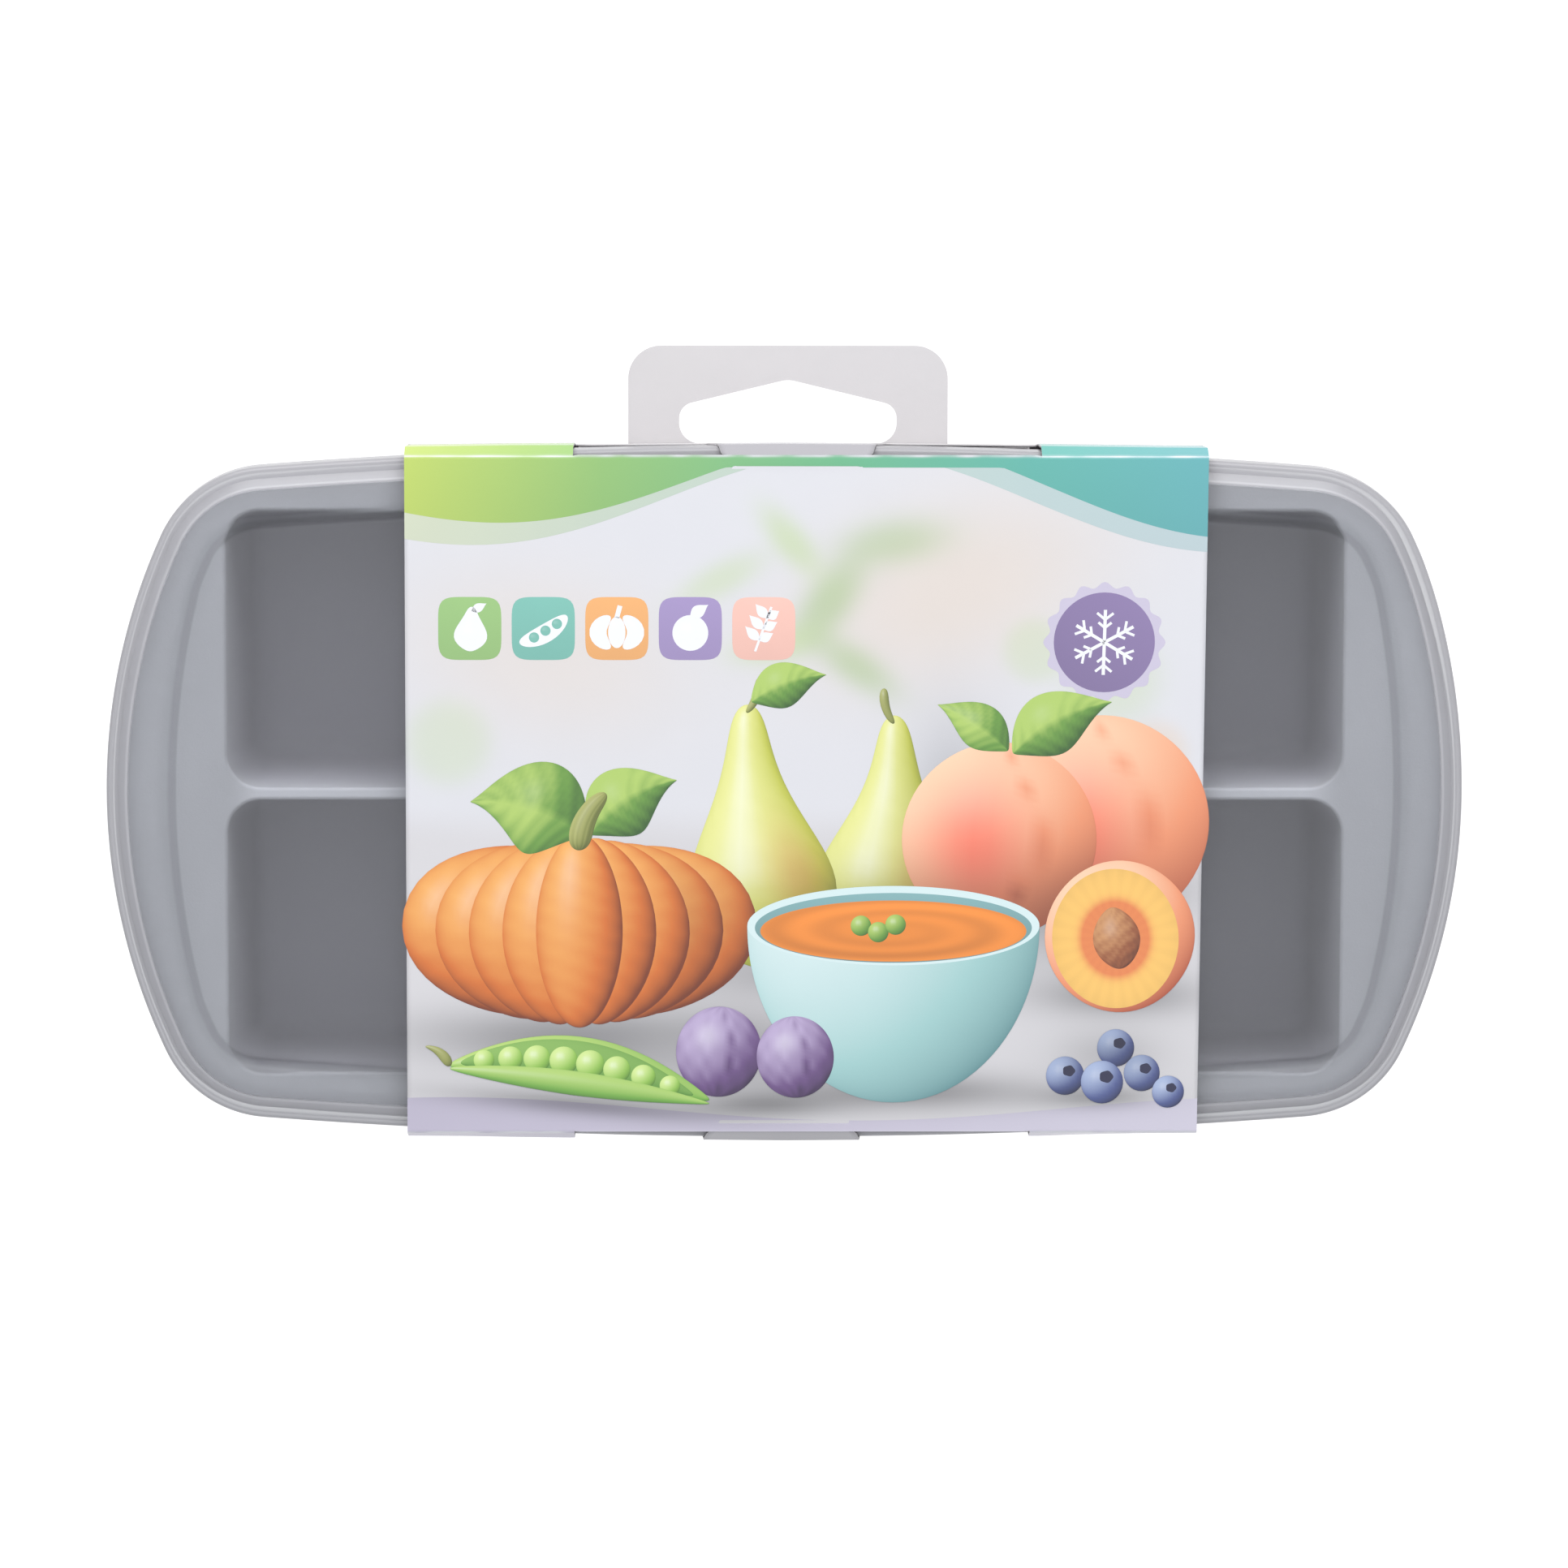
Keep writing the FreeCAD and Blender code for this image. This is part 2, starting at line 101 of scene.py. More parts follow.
TRAY_CENTRE = (0, 0, 0.03)
area_lamp("window_lamp", (0.0, 0.78, 0.40), TRAY_CENTRE, width=0.9, height=0.5, watts=5.1)
area_lamp("ceiling_lamp", (0.0, 0.45, 1.6), TRAY_CENTRE, width=3.0, height=3.0, watts=6.0)

# The world lights the tray as a cool, even surround, and shows plain white behind it.
SURROUND_COLOUR = (0.93, 0.96, 1.0, 1)
SURROUND_STRENGTH = 0.82
WHITE = (1, 1, 1, 1)

world = bpy.data.worlds.new("surround")
world.use_nodes = True
tree = world.node_tree
surround = tree.nodes["Background"]
surround.inputs["Color"].default_value = SURROUND_COLOUR
surround.inputs["Strength"].default_value = SURROUND_STRENGTH
backdrop = add_node(tree, "Background", {"Color": WHITE})
light_path = add_node(tree, "LightPath")
either = add_node(tree, "MixShader", {
    0: light_path.outputs["Is Camera Ray"], 1: surround.outputs[0], 2: backdrop.outputs[0]})
tree.links.new(either.outputs[0], tree.nodes["World Output"].inputs["Surface"])
scene.world = world

FLOOR_COLOUR = (0.16, 0.16, 0.165, 1)
FLOOR_HALF_SIZE = 6.0
FLOOR_HEIGHT = -0.0002

floor_mesh = bpy.data.meshes.new("floor")
floor_mesh.from_pydata([(x * FLOOR_HALF_SIZE, y * FLOOR_HALF_SIZE, FLOOR_HEIGHT)
                        for x, y in ((-1, -1), (1, -1), (1, 1), (-1, 1))], [], [(0, 1, 2, 3)])
floor = bpy.data.objects.new("floor", floor_mesh)
scene.collection.objects.link(floor)
floor_paint, tree, output = new_material("floor_paint")
paint = add_node(tree, "BsdfPrincipled", {"Base Color": FLOOR_COLOUR, "Roughness": 1.0})
light_path = add_node(tree, "LightPath")
seen = add_node(tree, "Math", {0: light_path.outputs["Is Camera Ray"],
                               1: light_path.outputs["Is Glossy Ray"]}, operation="MAXIMUM")
seen_through = add_node(tree, "Math", {0: seen.outputs[0],
                                       1: light_path.outputs["Is Transmission Ray"]}, operation="MAXIMUM")
glow = add_node(tree, "Emission", {"Strength": seen_through.outputs[0]})
both = add_node(tree, "AddShader", {0: paint.outputs[0], 1: glow.outputs[0]})
tree.links.new(both.outputs[0], output.inputs["Surface"])
floor_mesh.materials.append(floor_paint)


# ---- Silicone tray --------------------------------------------------------------------------------
# One soft grey moulding of matte silicone, with ten deep cells and a bowed rim. Its skin is slightly uneven
# and has a fine matte grain from the mould. Painted shade darkens it away from the rim, down in the cells,
# and a painted highlight makes it paler along the middle rib.
def moulded_skin_group():
    """Node group: soft patches and a fine grain on a moulded surface, as a tone near 1 and a height."""
    tree = bpy.data.node_groups.new("moulded_skin", "ShaderNodeTree")
    for name in ("Patch Scale", "Grain Scale", "Tone Change"):
        tree.interface.new_socket(name, in_out="INPUT", socket_type="NodeSocketFloat")
    for name in ("Tone", "Height"):
        tree.interface.new_socket(name, in_out="OUTPUT", socket_type="NodeSocketFloat")
    entry, leave = tree.nodes.new("NodeGroupInput"), tree.nodes.new("NodeGroupOutput")
    place, settings = add_node(tree, "TexCoord").outputs["Object"], entry.outputs
    patches = add_node(tree, "TexNoise", {"Vector": place, "Scale": settings["Patch Scale"], "Detail": 3.0})
    centred = add_node(tree, "Math", {0: patches.outputs["Fac"], 1: 0.5}, operation="SUBTRACT")
    tone = add_node(tree, "Math", {0: centred.outputs[0], 1: settings["Tone Change"], 2: 1.0},
                    operation="MULTIPLY_ADD")
    tree.links.new(tone.outputs[0], leave.inputs["Tone"])
    grain = add_node(tree, "TexNoise", {"Vector": place, "Scale": settings["Grain Scale"], "Detail": 2.0})
    tree.links.new(grain.outputs["Fac"], leave.inputs["Height"])
    return tree


def scaled(tree, colour, share):
    """A node that multiplies a colour by a share."""
    return add_node(tree, "VectorMath", {0: colour, "Scale": share}, operation="SCALE")


def add_skin(tree, shader, colour, patch_scale, grain_scale, tone_change, depth):
    """Gives a shader the moulded skin: its colour varied by the tone, and a bump of the given depth.
    Returns the node that holds the colour."""
    skin = add_node(tree, "Group", {"Patch Scale": patch_scale, "Grain Scale": grain_scale,
                                    "Tone Change": tone_change}, node_tree=moulded_skin)
    tinted = scaled(tree, colour, skin.outputs["Tone"])
    tree.links.new(tinted.outputs[0], shader.inputs["Base Color"])
    bump = add_node(tree, "Bump", {"Distance": depth, "Height": skin.outputs["Height"]})
    tree.links.new(bump.outputs["Normal"], shader.inputs["Normal"])
    return tinted


def stepped(tree, value, start, end, before=0.0, after=1.0):
    """A node that goes smoothly from one number to another as a value rises from start to end."""
    return add_node(tree, "MapRange", {
        "Value": value, "From Min": start, "From Max": end, "To Min": before, "To Max": after},
        interpolation_type="SMOOTHSTEP")


def dress(piece, material):
    """Gives every slot of a piece's mesh the same material."""
    piece.data.materials.clear()
    piece.data.materials.append(material)


moulded_skin = moulded_skin_group()
SILICONE_GREY = (0.378, 0.371, 0.400)
# Painted shade: the silicone's tone falls from the rim down into the cells.
PAINTED_DEEP_SHADE, PAINTED_RIM_LIGHT = (0.92, 0.89, 0.93), (1.03, 1.02, 1.02)
DEEP_HEIGHT, RIM_HEIGHT = 0.028, 0.039
# Painted highlight: the middle rib between the two rows of cells is paler.
RIB_PAINTED_HIGHLIGHT = 0.40
RIB_CREST, RIB_FOOT = 0.0010, 0.0055
RIB_END, RIB_FADED = 0.0960, 0.1035

silicone, tree, output = new_material("grey_silicone")
body = add_node(tree, "BsdfPrincipled", {"Roughness": 0.46, "IOR": 1.41,
                                         "Sheen Weight": 0.12, "Sheen Roughness": 0.5})
tinted = add_skin(tree, body, SILICONE_GREY, patch_scale=45, grain_scale=3500, tone_change=0.08,
                  depth=0.00003)
place = add_node(tree, "TexCoord")
axes = add_node(tree, "SeparateXYZ", {0: place.outputs["Object"]})
# The painted highlight along the middle rib, fading out towards its ends.
across_rib = add_node(tree, "Math", {0: axes.outputs["Y"]}, operation="ABSOLUTE")
painted_rib_highlight = stepped(tree, across_rib.outputs[0], RIB_CREST, RIB_FOOT, RIB_PAINTED_HIGHLIGHT, 0.0)
along_rib = add_node(tree, "Math", {0: axes.outputs["X"]}, operation="ABSOLUTE")
between_cells = stepped(tree, along_rib.outputs[0], RIB_END, RIB_FADED, 1.0, 0.0)
rib_highlight_tone = add_node(tree, "Math", {
    0: painted_rib_highlight.outputs["Result"], 1: between_cells.outputs["Result"], 2: 1.0}, operation="MULTIPLY_ADD")
rib_highlighted = scaled(tree, tinted.outputs[0], rib_highlight_tone.outputs[0])
# Painted shade, by height: darker down in the cells than at the rim.
height = stepped(tree, axes.outputs["Z"], DEEP_HEIGHT, RIM_HEIGHT)
painted_depth_shade = add_node(tree, "Mix", {"Factor": height.outputs["Result"], "A": PAINTED_DEEP_SHADE, "B": PAINTED_RIM_LIGHT},
                   data_type="VECTOR")
toned = add_node(tree, "VectorMath", {0: rib_highlighted.outputs[0], 1: painted_depth_shade.outputs["Result"]},
                 operation="MULTIPLY")
tree.links.new(toned.outputs[0], body.inputs["Base Color"])
tree.links.new(body.outputs[0], output.inputs["Surface"])
dress(nodes["silicone_tray"], silicone)


# ---- Lid ------------------------------------------------------------------------------------------
# A thin frosted lid of milky polypropylene: skirt, flat rim with a groove, raised band, crease and
# sunken panel. Its one section turns round the bowed outline, so that light bends in clean curves.
MM = 0.001
OUTLINE_HALF_LENGTH, OUTLINE_HALF_WIDTH = 125.65, 64.4
SIDE_BOW_RADIUS, END_BOW_RADIUS, CORNER_RADIUS = 1259.0, 114.8, 22.0

# The section as (inset from the outline, height, bend radius, frost share, clear share), from the panel's top
# out and round to its underside. The frost share is the plastic's milky frost, raised as a painted highlight
# on the step and at the band's crest line; the clear share darkens the plastic, partly as painted shade in
# the groove and the crease.
LID_SECTION = (
    (12.6, 41.9, 0, 0.07, 1.0), (11.9, 41.9, 2.0, 0.07, 1.0), (10.8, 41.7, 1.5, 0.04, 0.72),
    (9.4, 42.45, 3.0, 0.05, 0.90), (7.2, 43.0, 6.0, 0.07, 0.95), (4.6, 42.35, 0.6, 0.12, 0.95),
    (4.0, 42.15, 0.5, 0.75, 0.97), (3.65, 41.85, 0.5, 0.60, 0.92), (2.45, 40.8, 0.3, 0.68, 0.78),
    (0.25, 40.45, 1.0, 0.90, 0.74), (0.0, 34.3, 0.4, 0.90, 0.76), (1.1, 34.3, 0.4, 0, 1),
    (1.3, 39.6, 0.3, 0, 1), (3.0, 39.6, 0.5, 0, 1), (4.6, 41.15, 0.8, 0, 1), (7.2, 42.0, 5.0, 0, 1),
    (10.6, 40.75, 2.5, 0, 1), (11.9, 40.8, 2.0, 0, 1), (12.6, 40.8, 0, 0, 1))


def rounded_line(corners, samples):
    """Points and left normals along a line of (u, v, radius) corners. Each inner corner is an arc
    tangent to its two runs: centre = corner - run * r tan(turn / 2) + side * r * left, and the point
    with normal n is centre - side * r * n, with n turning evenly and side 1 for a left turn."""
    spots, radii = np.array(corners)[:, :2], np.array(corners)[:, 2]
    runs = np.diff(spots, axis=0)
    runs /= np.linalg.norm(runs, axis=1, keepdims=True)
    lefts = np.stack([-runs[:, 1], runs[:, 0]], 1)
    share = np.linspace(0, 1, samples)[:, None]
    points, normals = [spots[:1]], [lefts[:1]]
    for spot, radius, run, left, next_run, next_left in zip(
            spots[1:], radii[1:], runs, lefts, runs[1:], lefts[1:]):
        turn = math.acos(left @ next_left)
        side = math.copysign(1, left @ next_run)
        centre = spot - run * radius * math.tan(turn / 2) + side * radius * left
        arc = (left * np.sin((1 - share) * turn) + next_left * np.sin(share * turn)) / math.sin(turn)
        points.append(centre - side * radius * arc)
        normals.append(arc)
    return np.concatenate(points + [spots[-1:]]), np.concatenate(normals + [lefts[-1:]])


def outline_stations(end_samples, corner_samples, side_samples):
    """Stations round the bowed outline, as rows of (centre x, centre y, radius, angle). The corner
    arc touches a side's and an end's bow from inside, which fixes its centre by two distances."""
    side_y = OUTLINE_HALF_WIDTH - SIDE_BOW_RADIUS
    end_x = OUTLINE_HALF_LENGTH - END_BOW_RADIUS
    side_reach, end_reach = SIDE_BOW_RADIUS - CORNER_RADIUS, END_BOW_RADIUS - CORNER_RADIUS
    between = np.array([end_x, -side_y])
    span = np.linalg.norm(between)
    between /= span
    along = (side_reach**2 - end_reach**2 + span**2) / (2 * span)
    x, y = between * along + np.array([between[1], -between[0]]) * math.sqrt(side_reach**2 - along**2)
    y += side_y
    end_turn, side_turn = math.atan2(y, x - end_x), math.atan2(y - side_y, x)
    rows = []
    for centre_x, centre_y, radius, first, last, samples in (
            (end_x, 0, END_BOW_RADIUS, 0, end_turn, end_samples),
            (x, y, CORNER_RADIUS, end_turn, side_turn, corner_samples),
            (0, side_y, SIDE_BOW_RADIUS, side_turn, math.pi / 2, side_samples)):
        angles = np.linspace(first, last, samples)[:-1]
        arc = np.broadcast_to((centre_x, centre_y, radius), (samples - 1, 3))
        rows.append(np.column_stack([arc, angles]))
    quarter = np.concatenate(rows + [[[0, side_y, SIDE_BOW_RADIUS, math.pi / 2]]])
    half = np.concatenate([quarter, (quarter * (-1, 1, 1, -1) + (0, 0, 0, math.pi))[-2::-1]])
    return np.concatenate([half, (half * (-1, -1, 1, 1) + (0, 0, 0, math.pi))[1:-1]])


def ring_faces(rings, points):
    """Quads between neighbours of closed rings of points, as indices, ring after ring."""
    index = np.arange(rings * points).reshape(rings, points)
    ahead = np.roll(index, -1, axis=1)
    return np.stack([index[:-1], ahead[:-1], ahead[1:], index[1:]], -1).reshape(-1, 4)


# The crease bows a little less than the outline. At the lid's ends it lies further in by the end inset,
# less so away from the middle, and further out beyond the crossing. The lid's upper right corner leans
# further out than the other three. Both fade in from a start over a stretch.
CREASE_END_INSET, CREASE_CROSSING, CREASE_CORNER_OUTSET = 1.7, 35.0, 0.8
CREASE_END_START, CREASE_END_FADE = 98, 16
CREASE_FROM_INSET, CREASE_INSET_FADE = 7.2, 2.2
CORNER_LEAN, LEAN_WIDTH, LEAN_LIMIT = 0.8, 40, 1.1
LEAN_START, LEAN_FADE = 95, 25
ARC_SAMPLES = 8
section, _ = rounded_line(LID_SECTION, ARC_SAMPLES)
stations = outline_stations(40, 30, 64)
outline_x = stations[:, 0] + stations[:, 2] * np.cos(stations[:, 3])
outline_y = stations[:, 1] + stations[:, 2] * np.sin(stations[:, 3])
at_end = np.clip((np.abs(outline_x) - CREASE_END_START) / CREASE_END_FADE, 0, 1)
drawn_in = CREASE_END_INSET * (1 - (outline_y / CREASE_CROSSING) ** 2)
drawn_in = np.clip(drawn_in, -CREASE_CORNER_OUTSET, None) * at_end
at_crease = np.clip((section[:, :1] - CREASE_FROM_INSET) / CREASE_INSET_FADE, 0, 1)
reach = stations[:, 2] - section[:, :1] - drawn_in * at_crease
leaning = CORNER_LEAN * np.clip(outline_y / LEAN_WIDTH, 0, LEAN_LIMIT) ** 2
leaning = leaning * np.clip((outline_x - LEAN_START) / LEAN_FADE, 0, 1)
lid_points = np.stack([stations[:, 0] + leaning + reach * np.cos(stations[:, 3]),
                       stations[:, 1] + reach * np.sin(stations[:, 3]),
                       np.broadcast_to(section[:, 1:], reach.shape)], -1) * MM
inner_ring = np.arange(len(stations))
lid_faces = ring_faces(len(section), len(stations))[:, ::-1].tolist()
lid_faces += [inner_ring.tolist(), (inner_ring + (len(section) - 1) * len(stations))[::-1].tolist()]
lid_mesh = bpy.data.meshes.new("lid_shell")
lid_mesh.from_pydata(lid_points.reshape(-1, 3).tolist(), [], lid_faces)
lid_mesh.shade_smooth()
for attribute, column in (("frost_and_highlight", 3), ("clearness_and_shade", 4)):
    shares = np.array(LID_SECTION)[:, column]
    shares = np.concatenate([shares[:1], np.repeat(shares[1:-1], ARC_SAMPLES), shares[-1:]])
    layer = lid_mesh.attributes.new(attribute, "FLOAT", "POINT")
    layer.data.foreach_set("value", np.repeat(shares, len(stations)))
lid = bpy.data.objects.new("lid_shell", lid_mesh)
scene.collection.objects.link(lid)
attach(lid, "lid")
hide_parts("lid")

PANE_TINT, MILK_WHITE, SHADOW_TINT = (0.955, 0.98, 0.985), (0.56, 0.545, 0.57), (0.93, 0.945, 0.96, 1)
frosted, tree, output = new_material("frosted_plastic")
pane = add_node(tree, "BsdfPrincipled", {"Roughness": 0.20, "IOR": 1.43, "Transmission Weight": 1.0})
pane_colour = add_skin(tree, pane, PANE_TINT, patch_scale=30, grain_scale=1800, tone_change=0.06,
                       depth=0.000005)
# The clear share darkens the pane and the milk, partly as painted shade in the groove and crease; the frost
# share mixes in the milk, partly as painted highlights on the step and crest.
clearness_and_shade = add_node(tree, "Attribute", attribute_name="clearness_and_shade")
thinned = scaled(tree, pane_colour.outputs[0], clearness_and_shade.outputs["Fac"])
tree.links.new(thinned.outputs[0], pane.inputs["Base Color"])
milk_tone = scaled(tree, MILK_WHITE, clearness_and_shade.outputs["Fac"])
milk = add_node(tree, "BsdfPrincipled", {"Base Color": milk_tone.outputs[0], "Roughness": 0.30})
frost_and_highlight = add_node(tree, "Attribute", attribute_name="frost_and_highlight")
milky = add_node(tree, "MixShader", {0: frost_and_highlight.outputs["Fac"], 1: pane.outputs[0], 2: milk.outputs[0]})
open_air = add_node(tree, "BsdfTransparent", {"Color": SHADOW_TINT})
light_path = add_node(tree, "LightPath")
shaded = add_node(tree, "MixShader", {
    0: light_path.outputs["Is Shadow Ray"], 1: milky.outputs[0], 2: open_air.outputs[0]})
tree.links.new(shaded.outputs[0], output.inputs["Surface"])
lid_mesh.materials.append(frosted)


# ---- Plain card -----------------------------------------------------------------------------------
# The sleeve's unprinted parts are white card with a faint fibre grain. The hang tab is a plain ear of
# the back with a peaked slot for a display hook.
WHITE_CARD = (0.65, 0.625, 0.63)
FIBRES = {"patch_scale": 120, "grain_scale": 1400}
plain_card, tree, output = new_material("white_card")
sheet = add_node(tree, "BsdfPrincipled", {"Roughness": 0.48})
add_skin(tree, sheet, WHITE_CARD, **FIBRES, tone_change=0.05, depth=0.000012)
tree.links.new(sheet.outputs[0], output.inputs["Surface"])
dress(nodes["hang_tab"], plain_card)


# ---- Front card -----------------------------------------------------------------------------------
# The printed panel of the sleeve, folded down over the tray's long sides and cut out at the two
# windows. It is thin coated card that bows a little and shows the lock tongues tucked in behind it.
CARD_LEFT, CARD_RIGHT = -69.9, 77.0
RIGHT_EDGE_SLANT, SLANT_FADE = 0.6 / 62.4, 25
WINDOW_LEFT = -39.0
UPPER_WINDOW_RIGHT, LOWER_WINDOW_RIGHT = 47.0, 45.4
UPPER_WINDOW_CUT, LOWER_WINDOW_CUT = 62.9, 62.45
PANEL_CORNERS = ((0.0, 44.2, 0), (62.4, 44.2, 0.5), (64.7, 40.9, 0.5), (64.6, 30.95, 0))
CARD_THICKNESS = 0.45
SHOWN_THICKNESS = 0.42
CARD_SINK = 0.16
LAYER_LIFT = 0.008
TONGUES = ((2.1, 60.9), (-0.6, -60.9))
TONGUE_HALF_WIDTH = 12.0
TONGUE_STEP = 0.06

# How far the shoulders of the glued sleeve reach out along x, where it is drawn tight round the lid.
SHOULDER_PLACES = (-69.9, -60.0, -50.0, -40.0, 47.5, 55.0, 62.0, 69.0, 77.6)
UPPER_REACH = (64.35, 64.48, 64.62, 64.66, 64.60, 64.48, 64.40, 64.30, 64.25)
LOWER_REACH = (63.85, 63.92, 64.12, 64.26, 63.96, 63.66, 63.50, 63.36, 63.30)


def folded_line(inner_corners):
    """A folded card's outer line, as rows of (length, y, z, normal y, normal z): one thickness out
    from its inner line of rounded corners."""
    inner_line, normals = rounded_line(inner_corners, 9)
    outer_line = inner_line + normals * CARD_THICKNESS
    lengths = np.append(0, np.cumsum(np.linalg.norm(np.diff(outer_line, axis=0), axis=1)))
    return np.column_stack([lengths, outer_line, normals])


panel_line = folded_line(PANEL_CORNERS)
panel_end = panel_line[-1, 0]
widest = np.argmax(panel_line[:, 1])
SHOULDER_LENGTH, CAD_SHOULDER = panel_line[widest, :2]


def shoulder_reach(x, s):
    """The shoulders' outer half width at x, for the upper side where s > 0 and else the lower."""
    upper, lower = (np.interp(x, SHOULDER_PLACES, reach) for reach in (UPPER_REACH, LOWER_REACH))
    return np.where(s > 0, upper, lower)


def smooth_step(value, low, high):
    """0 below low and 1 above high, with 3t² - 2t³ between."""
    t = np.clip((value - low) / (high - low), 0, 1)
    return t * t * (3 - 2 * t)


def panel_relief(x, s):
    """The card's depth in mm: two long, shallow waves, and a step up over each tucked-in tongue."""
    relief = 0.018 * np.sin(x / 21 + 1.1) * np.cos(s / 27) + 0.010 * np.sin(x / 9 - s / 13)
    for centre, tip in TONGUES:
        inside = smooth_step(TONGUE_HALF_WIDTH - np.abs(x - centre), -0.25, 0.25)
        beyond = smooth_step(np.sign(tip) * s - abs(tip), -0.3, 0.2)
        relief = relief + TONGUE_STEP * inside * beyond
    return relief


def on_line(line, x, s, depth):
    """Places in mm, as (x, y, z), on a folded card's line at the length |s|, mirrored for a negative
    s and moved along the normal by the depth. The right edge leans by the sleeve's slant."""
    side, length = np.sign(s), np.abs(s)
    y, z, out_y, out_z = (np.interp(length, line[:, 0], line[:, k]) for k in (1, 2, 3, 4))
    lean = RIGHT_EDGE_SLANT * y * side * np.clip((x - UPPER_WINDOW_RIGHT) / SLANT_FADE, 0, 1)
    return np.stack([x + lean, side * (y + out_y * depth), z + out_z * depth], -1)


def on_card(x, s, layer):
    """Places in metres on the printed face, at its depth plus the layer's lift. The walls are drawn
    in to the sleeve's reach, with a share that rises from the fold to the shoulder. At the windows
    the panel runs on flat to its cut edge."""
    depth = panel_relief(x, s) + layer * LAYER_LIFT - CARD_SINK
    place = on_line(panel_line, x, s, depth)
    share = np.clip((np.abs(s) - UPPER_WINDOW_CUT) / (SHOULDER_LENGTH - UPPER_WINDOW_CUT), 0, 1)
    place[..., 1] -= np.sign(s) * share * (CAD_SHOULDER - shoulder_reach(x, s))
    window_right = np.where(s > 0, UPPER_WINDOW_RIGHT, LOWER_WINDOW_RIGHT)
    flat = smooth_step(x, WINDOW_LEFT, WINDOW_LEFT + 1) * (1 - smooth_step(x, window_right - 1, window_right))
    flat = flat * (s < UPPER_WINDOW_CUT + 0.01) * (s > -LOWER_WINDOW_CUT - 0.01)
    place[..., 1] += flat * (s - place[..., 1])
    place[..., 2] += flat * (panel_line[0, 2] + depth - place[..., 2])
    return place * MM


def grid_faces(rows, columns):
    """The quads between neighbours of a grid of rows x columns points, as four indices each."""
    index = np.arange(rows * columns).reshape(rows, columns)
    return np.stack([index[:-1, :-1], index[1:, :-1], index[1:, 1:], index[:-1, 1:]], -1).reshape(-1, 4)


def new_piece(name, points, faces, colours, material, body):
    """A smooth mesh of the given points and faces, with a colour at each point, riding on a body."""
    mesh = bpy.data.meshes.new(name)
    mesh.from_pydata(points.tolist(), [], faces.tolist())
    mesh.shade_smooth()
    ink = mesh.color_attributes.new("ink", "FLOAT_COLOR", "POINT")
    ink.data.foreach_set("color", np.column_stack([colours, np.ones(len(colours))]).ravel())
    mesh.materials.append(material)
    piece = bpy.data.objects.new(name, mesh)
    scene.collection.objects.link(piece)
    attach(piece, body)
    return piece


def screen(red, green, blue):
    """A screen colour of 0 to 255 a channel as the linear colour that materials mix."""
    share = np.array([red, green, blue]) / 255
    return np.where(share <= 0.04045, share / 12.92, ((share + 0.055) / 1.055) ** 2.4)


# The printed card's finish: its ink colour comes from the mesh, under the card's own fibre grain.
printed_card, tree, output = new_material("printed_card")
coated = add_node(tree, "BsdfPrincipled", {"Roughness": 0.40, "Coat Weight": 0.55, "Coat Roughness": 0.18})
ink_colour = add_node(tree, "Attribute", attribute_name="ink")
add_skin(tree, coated, ink_colour.outputs["Color"], **FIBRES, tone_change=0.03, depth=0.00001)
tree.links.new(coated.outputs[0], output.inputs["Surface"])

SEED = 7
random = np.random.default_rng(SEED)


def mottle(x, y, size, waves=7):
    """Even, random looking patches near 0 with a spread of about 1: a sum of sine waves whose
    directions and phases are drawn from the seed, each of about the given size in mm."""
    total = np.zeros(np.broadcast(x, y).shape)
    for turn, phase, stretch in random.uniform((0, 0, 0.7), (6.28, 6.28, 1.5), (waves, 3)):
        total += np.sin((x * math.cos(turn) + y * math.sin(turn)) * 6.28 / (size * stretch) + phase)
    return total / math.sqrt(waves / 2)


# Soft shadows in the picture, as (x, y, reach x, reach y, turn, strength, layer that casts it).
PICTURE_SHADOWS = (
    (-38, -44, 30, 5, 0, 0.50, 2), (-26, -26, 14, 12, 0, 0.25, 4), (4, -33, 22, 5, 0, 0.40, 2),
    (50, -17, 24, 5, 0, 0.45, 2), (31, -3, 9, 17, 0, 0.35, 3), (22, -55, 25, 3.5, 0, 0.60, 5),
    (26, -22, 30, 9, 0, 0.45, 5), (62, -37, 16, 4, 0, 0.55, 6), (57, -22, 13, 11, 0, 0.35, 6),
    (-37, -57.5, 25, 2.2, -5, 0.55, 7), (-36, -49, 24, 5, -5, 0.35, 7), (-4, -57.5, 14, 2.4, 0, 0.55, 6),
    (-6, -47, 13, 8, 0, 0.35, 6), (58, -56, 11, 2.2, 0, 0.50, 8), (60, -48, 10, 5, 0, 0.30, 8))


def in_reaches(x, y, place_x, place_y, reach_x, reach_y, turn):
    """How far (x, y) lies from a place, along and across axes turned by the given degrees, in reaches."""
    cosine, sine = math.cos(math.radians(turn)), math.sin(math.radians(turn))
    away_x, away_y = x - place_x, y - place_y
    return (away_x * cosine + away_y * sine) / reach_x, (away_y * cosine - away_x * sine) / reach_y


def in_shadow(x, y, layer):
    """How much light is left at places of a layer: the product, over the shadows that higher layers
    cast, of 1 - strength * exp(-d²), with d the distance from a shadow's middle in its reaches."""
    light = np.ones(np.broadcast(x, y).shape)
    for *spot, strength, caster in PICTURE_SHADOWS:
        if caster > layer:
            along, across = in_reaches(x, y, *spot)
            light *= 1 - strength * np.exp(-(along**2) - across**2)
    return light[..., None]


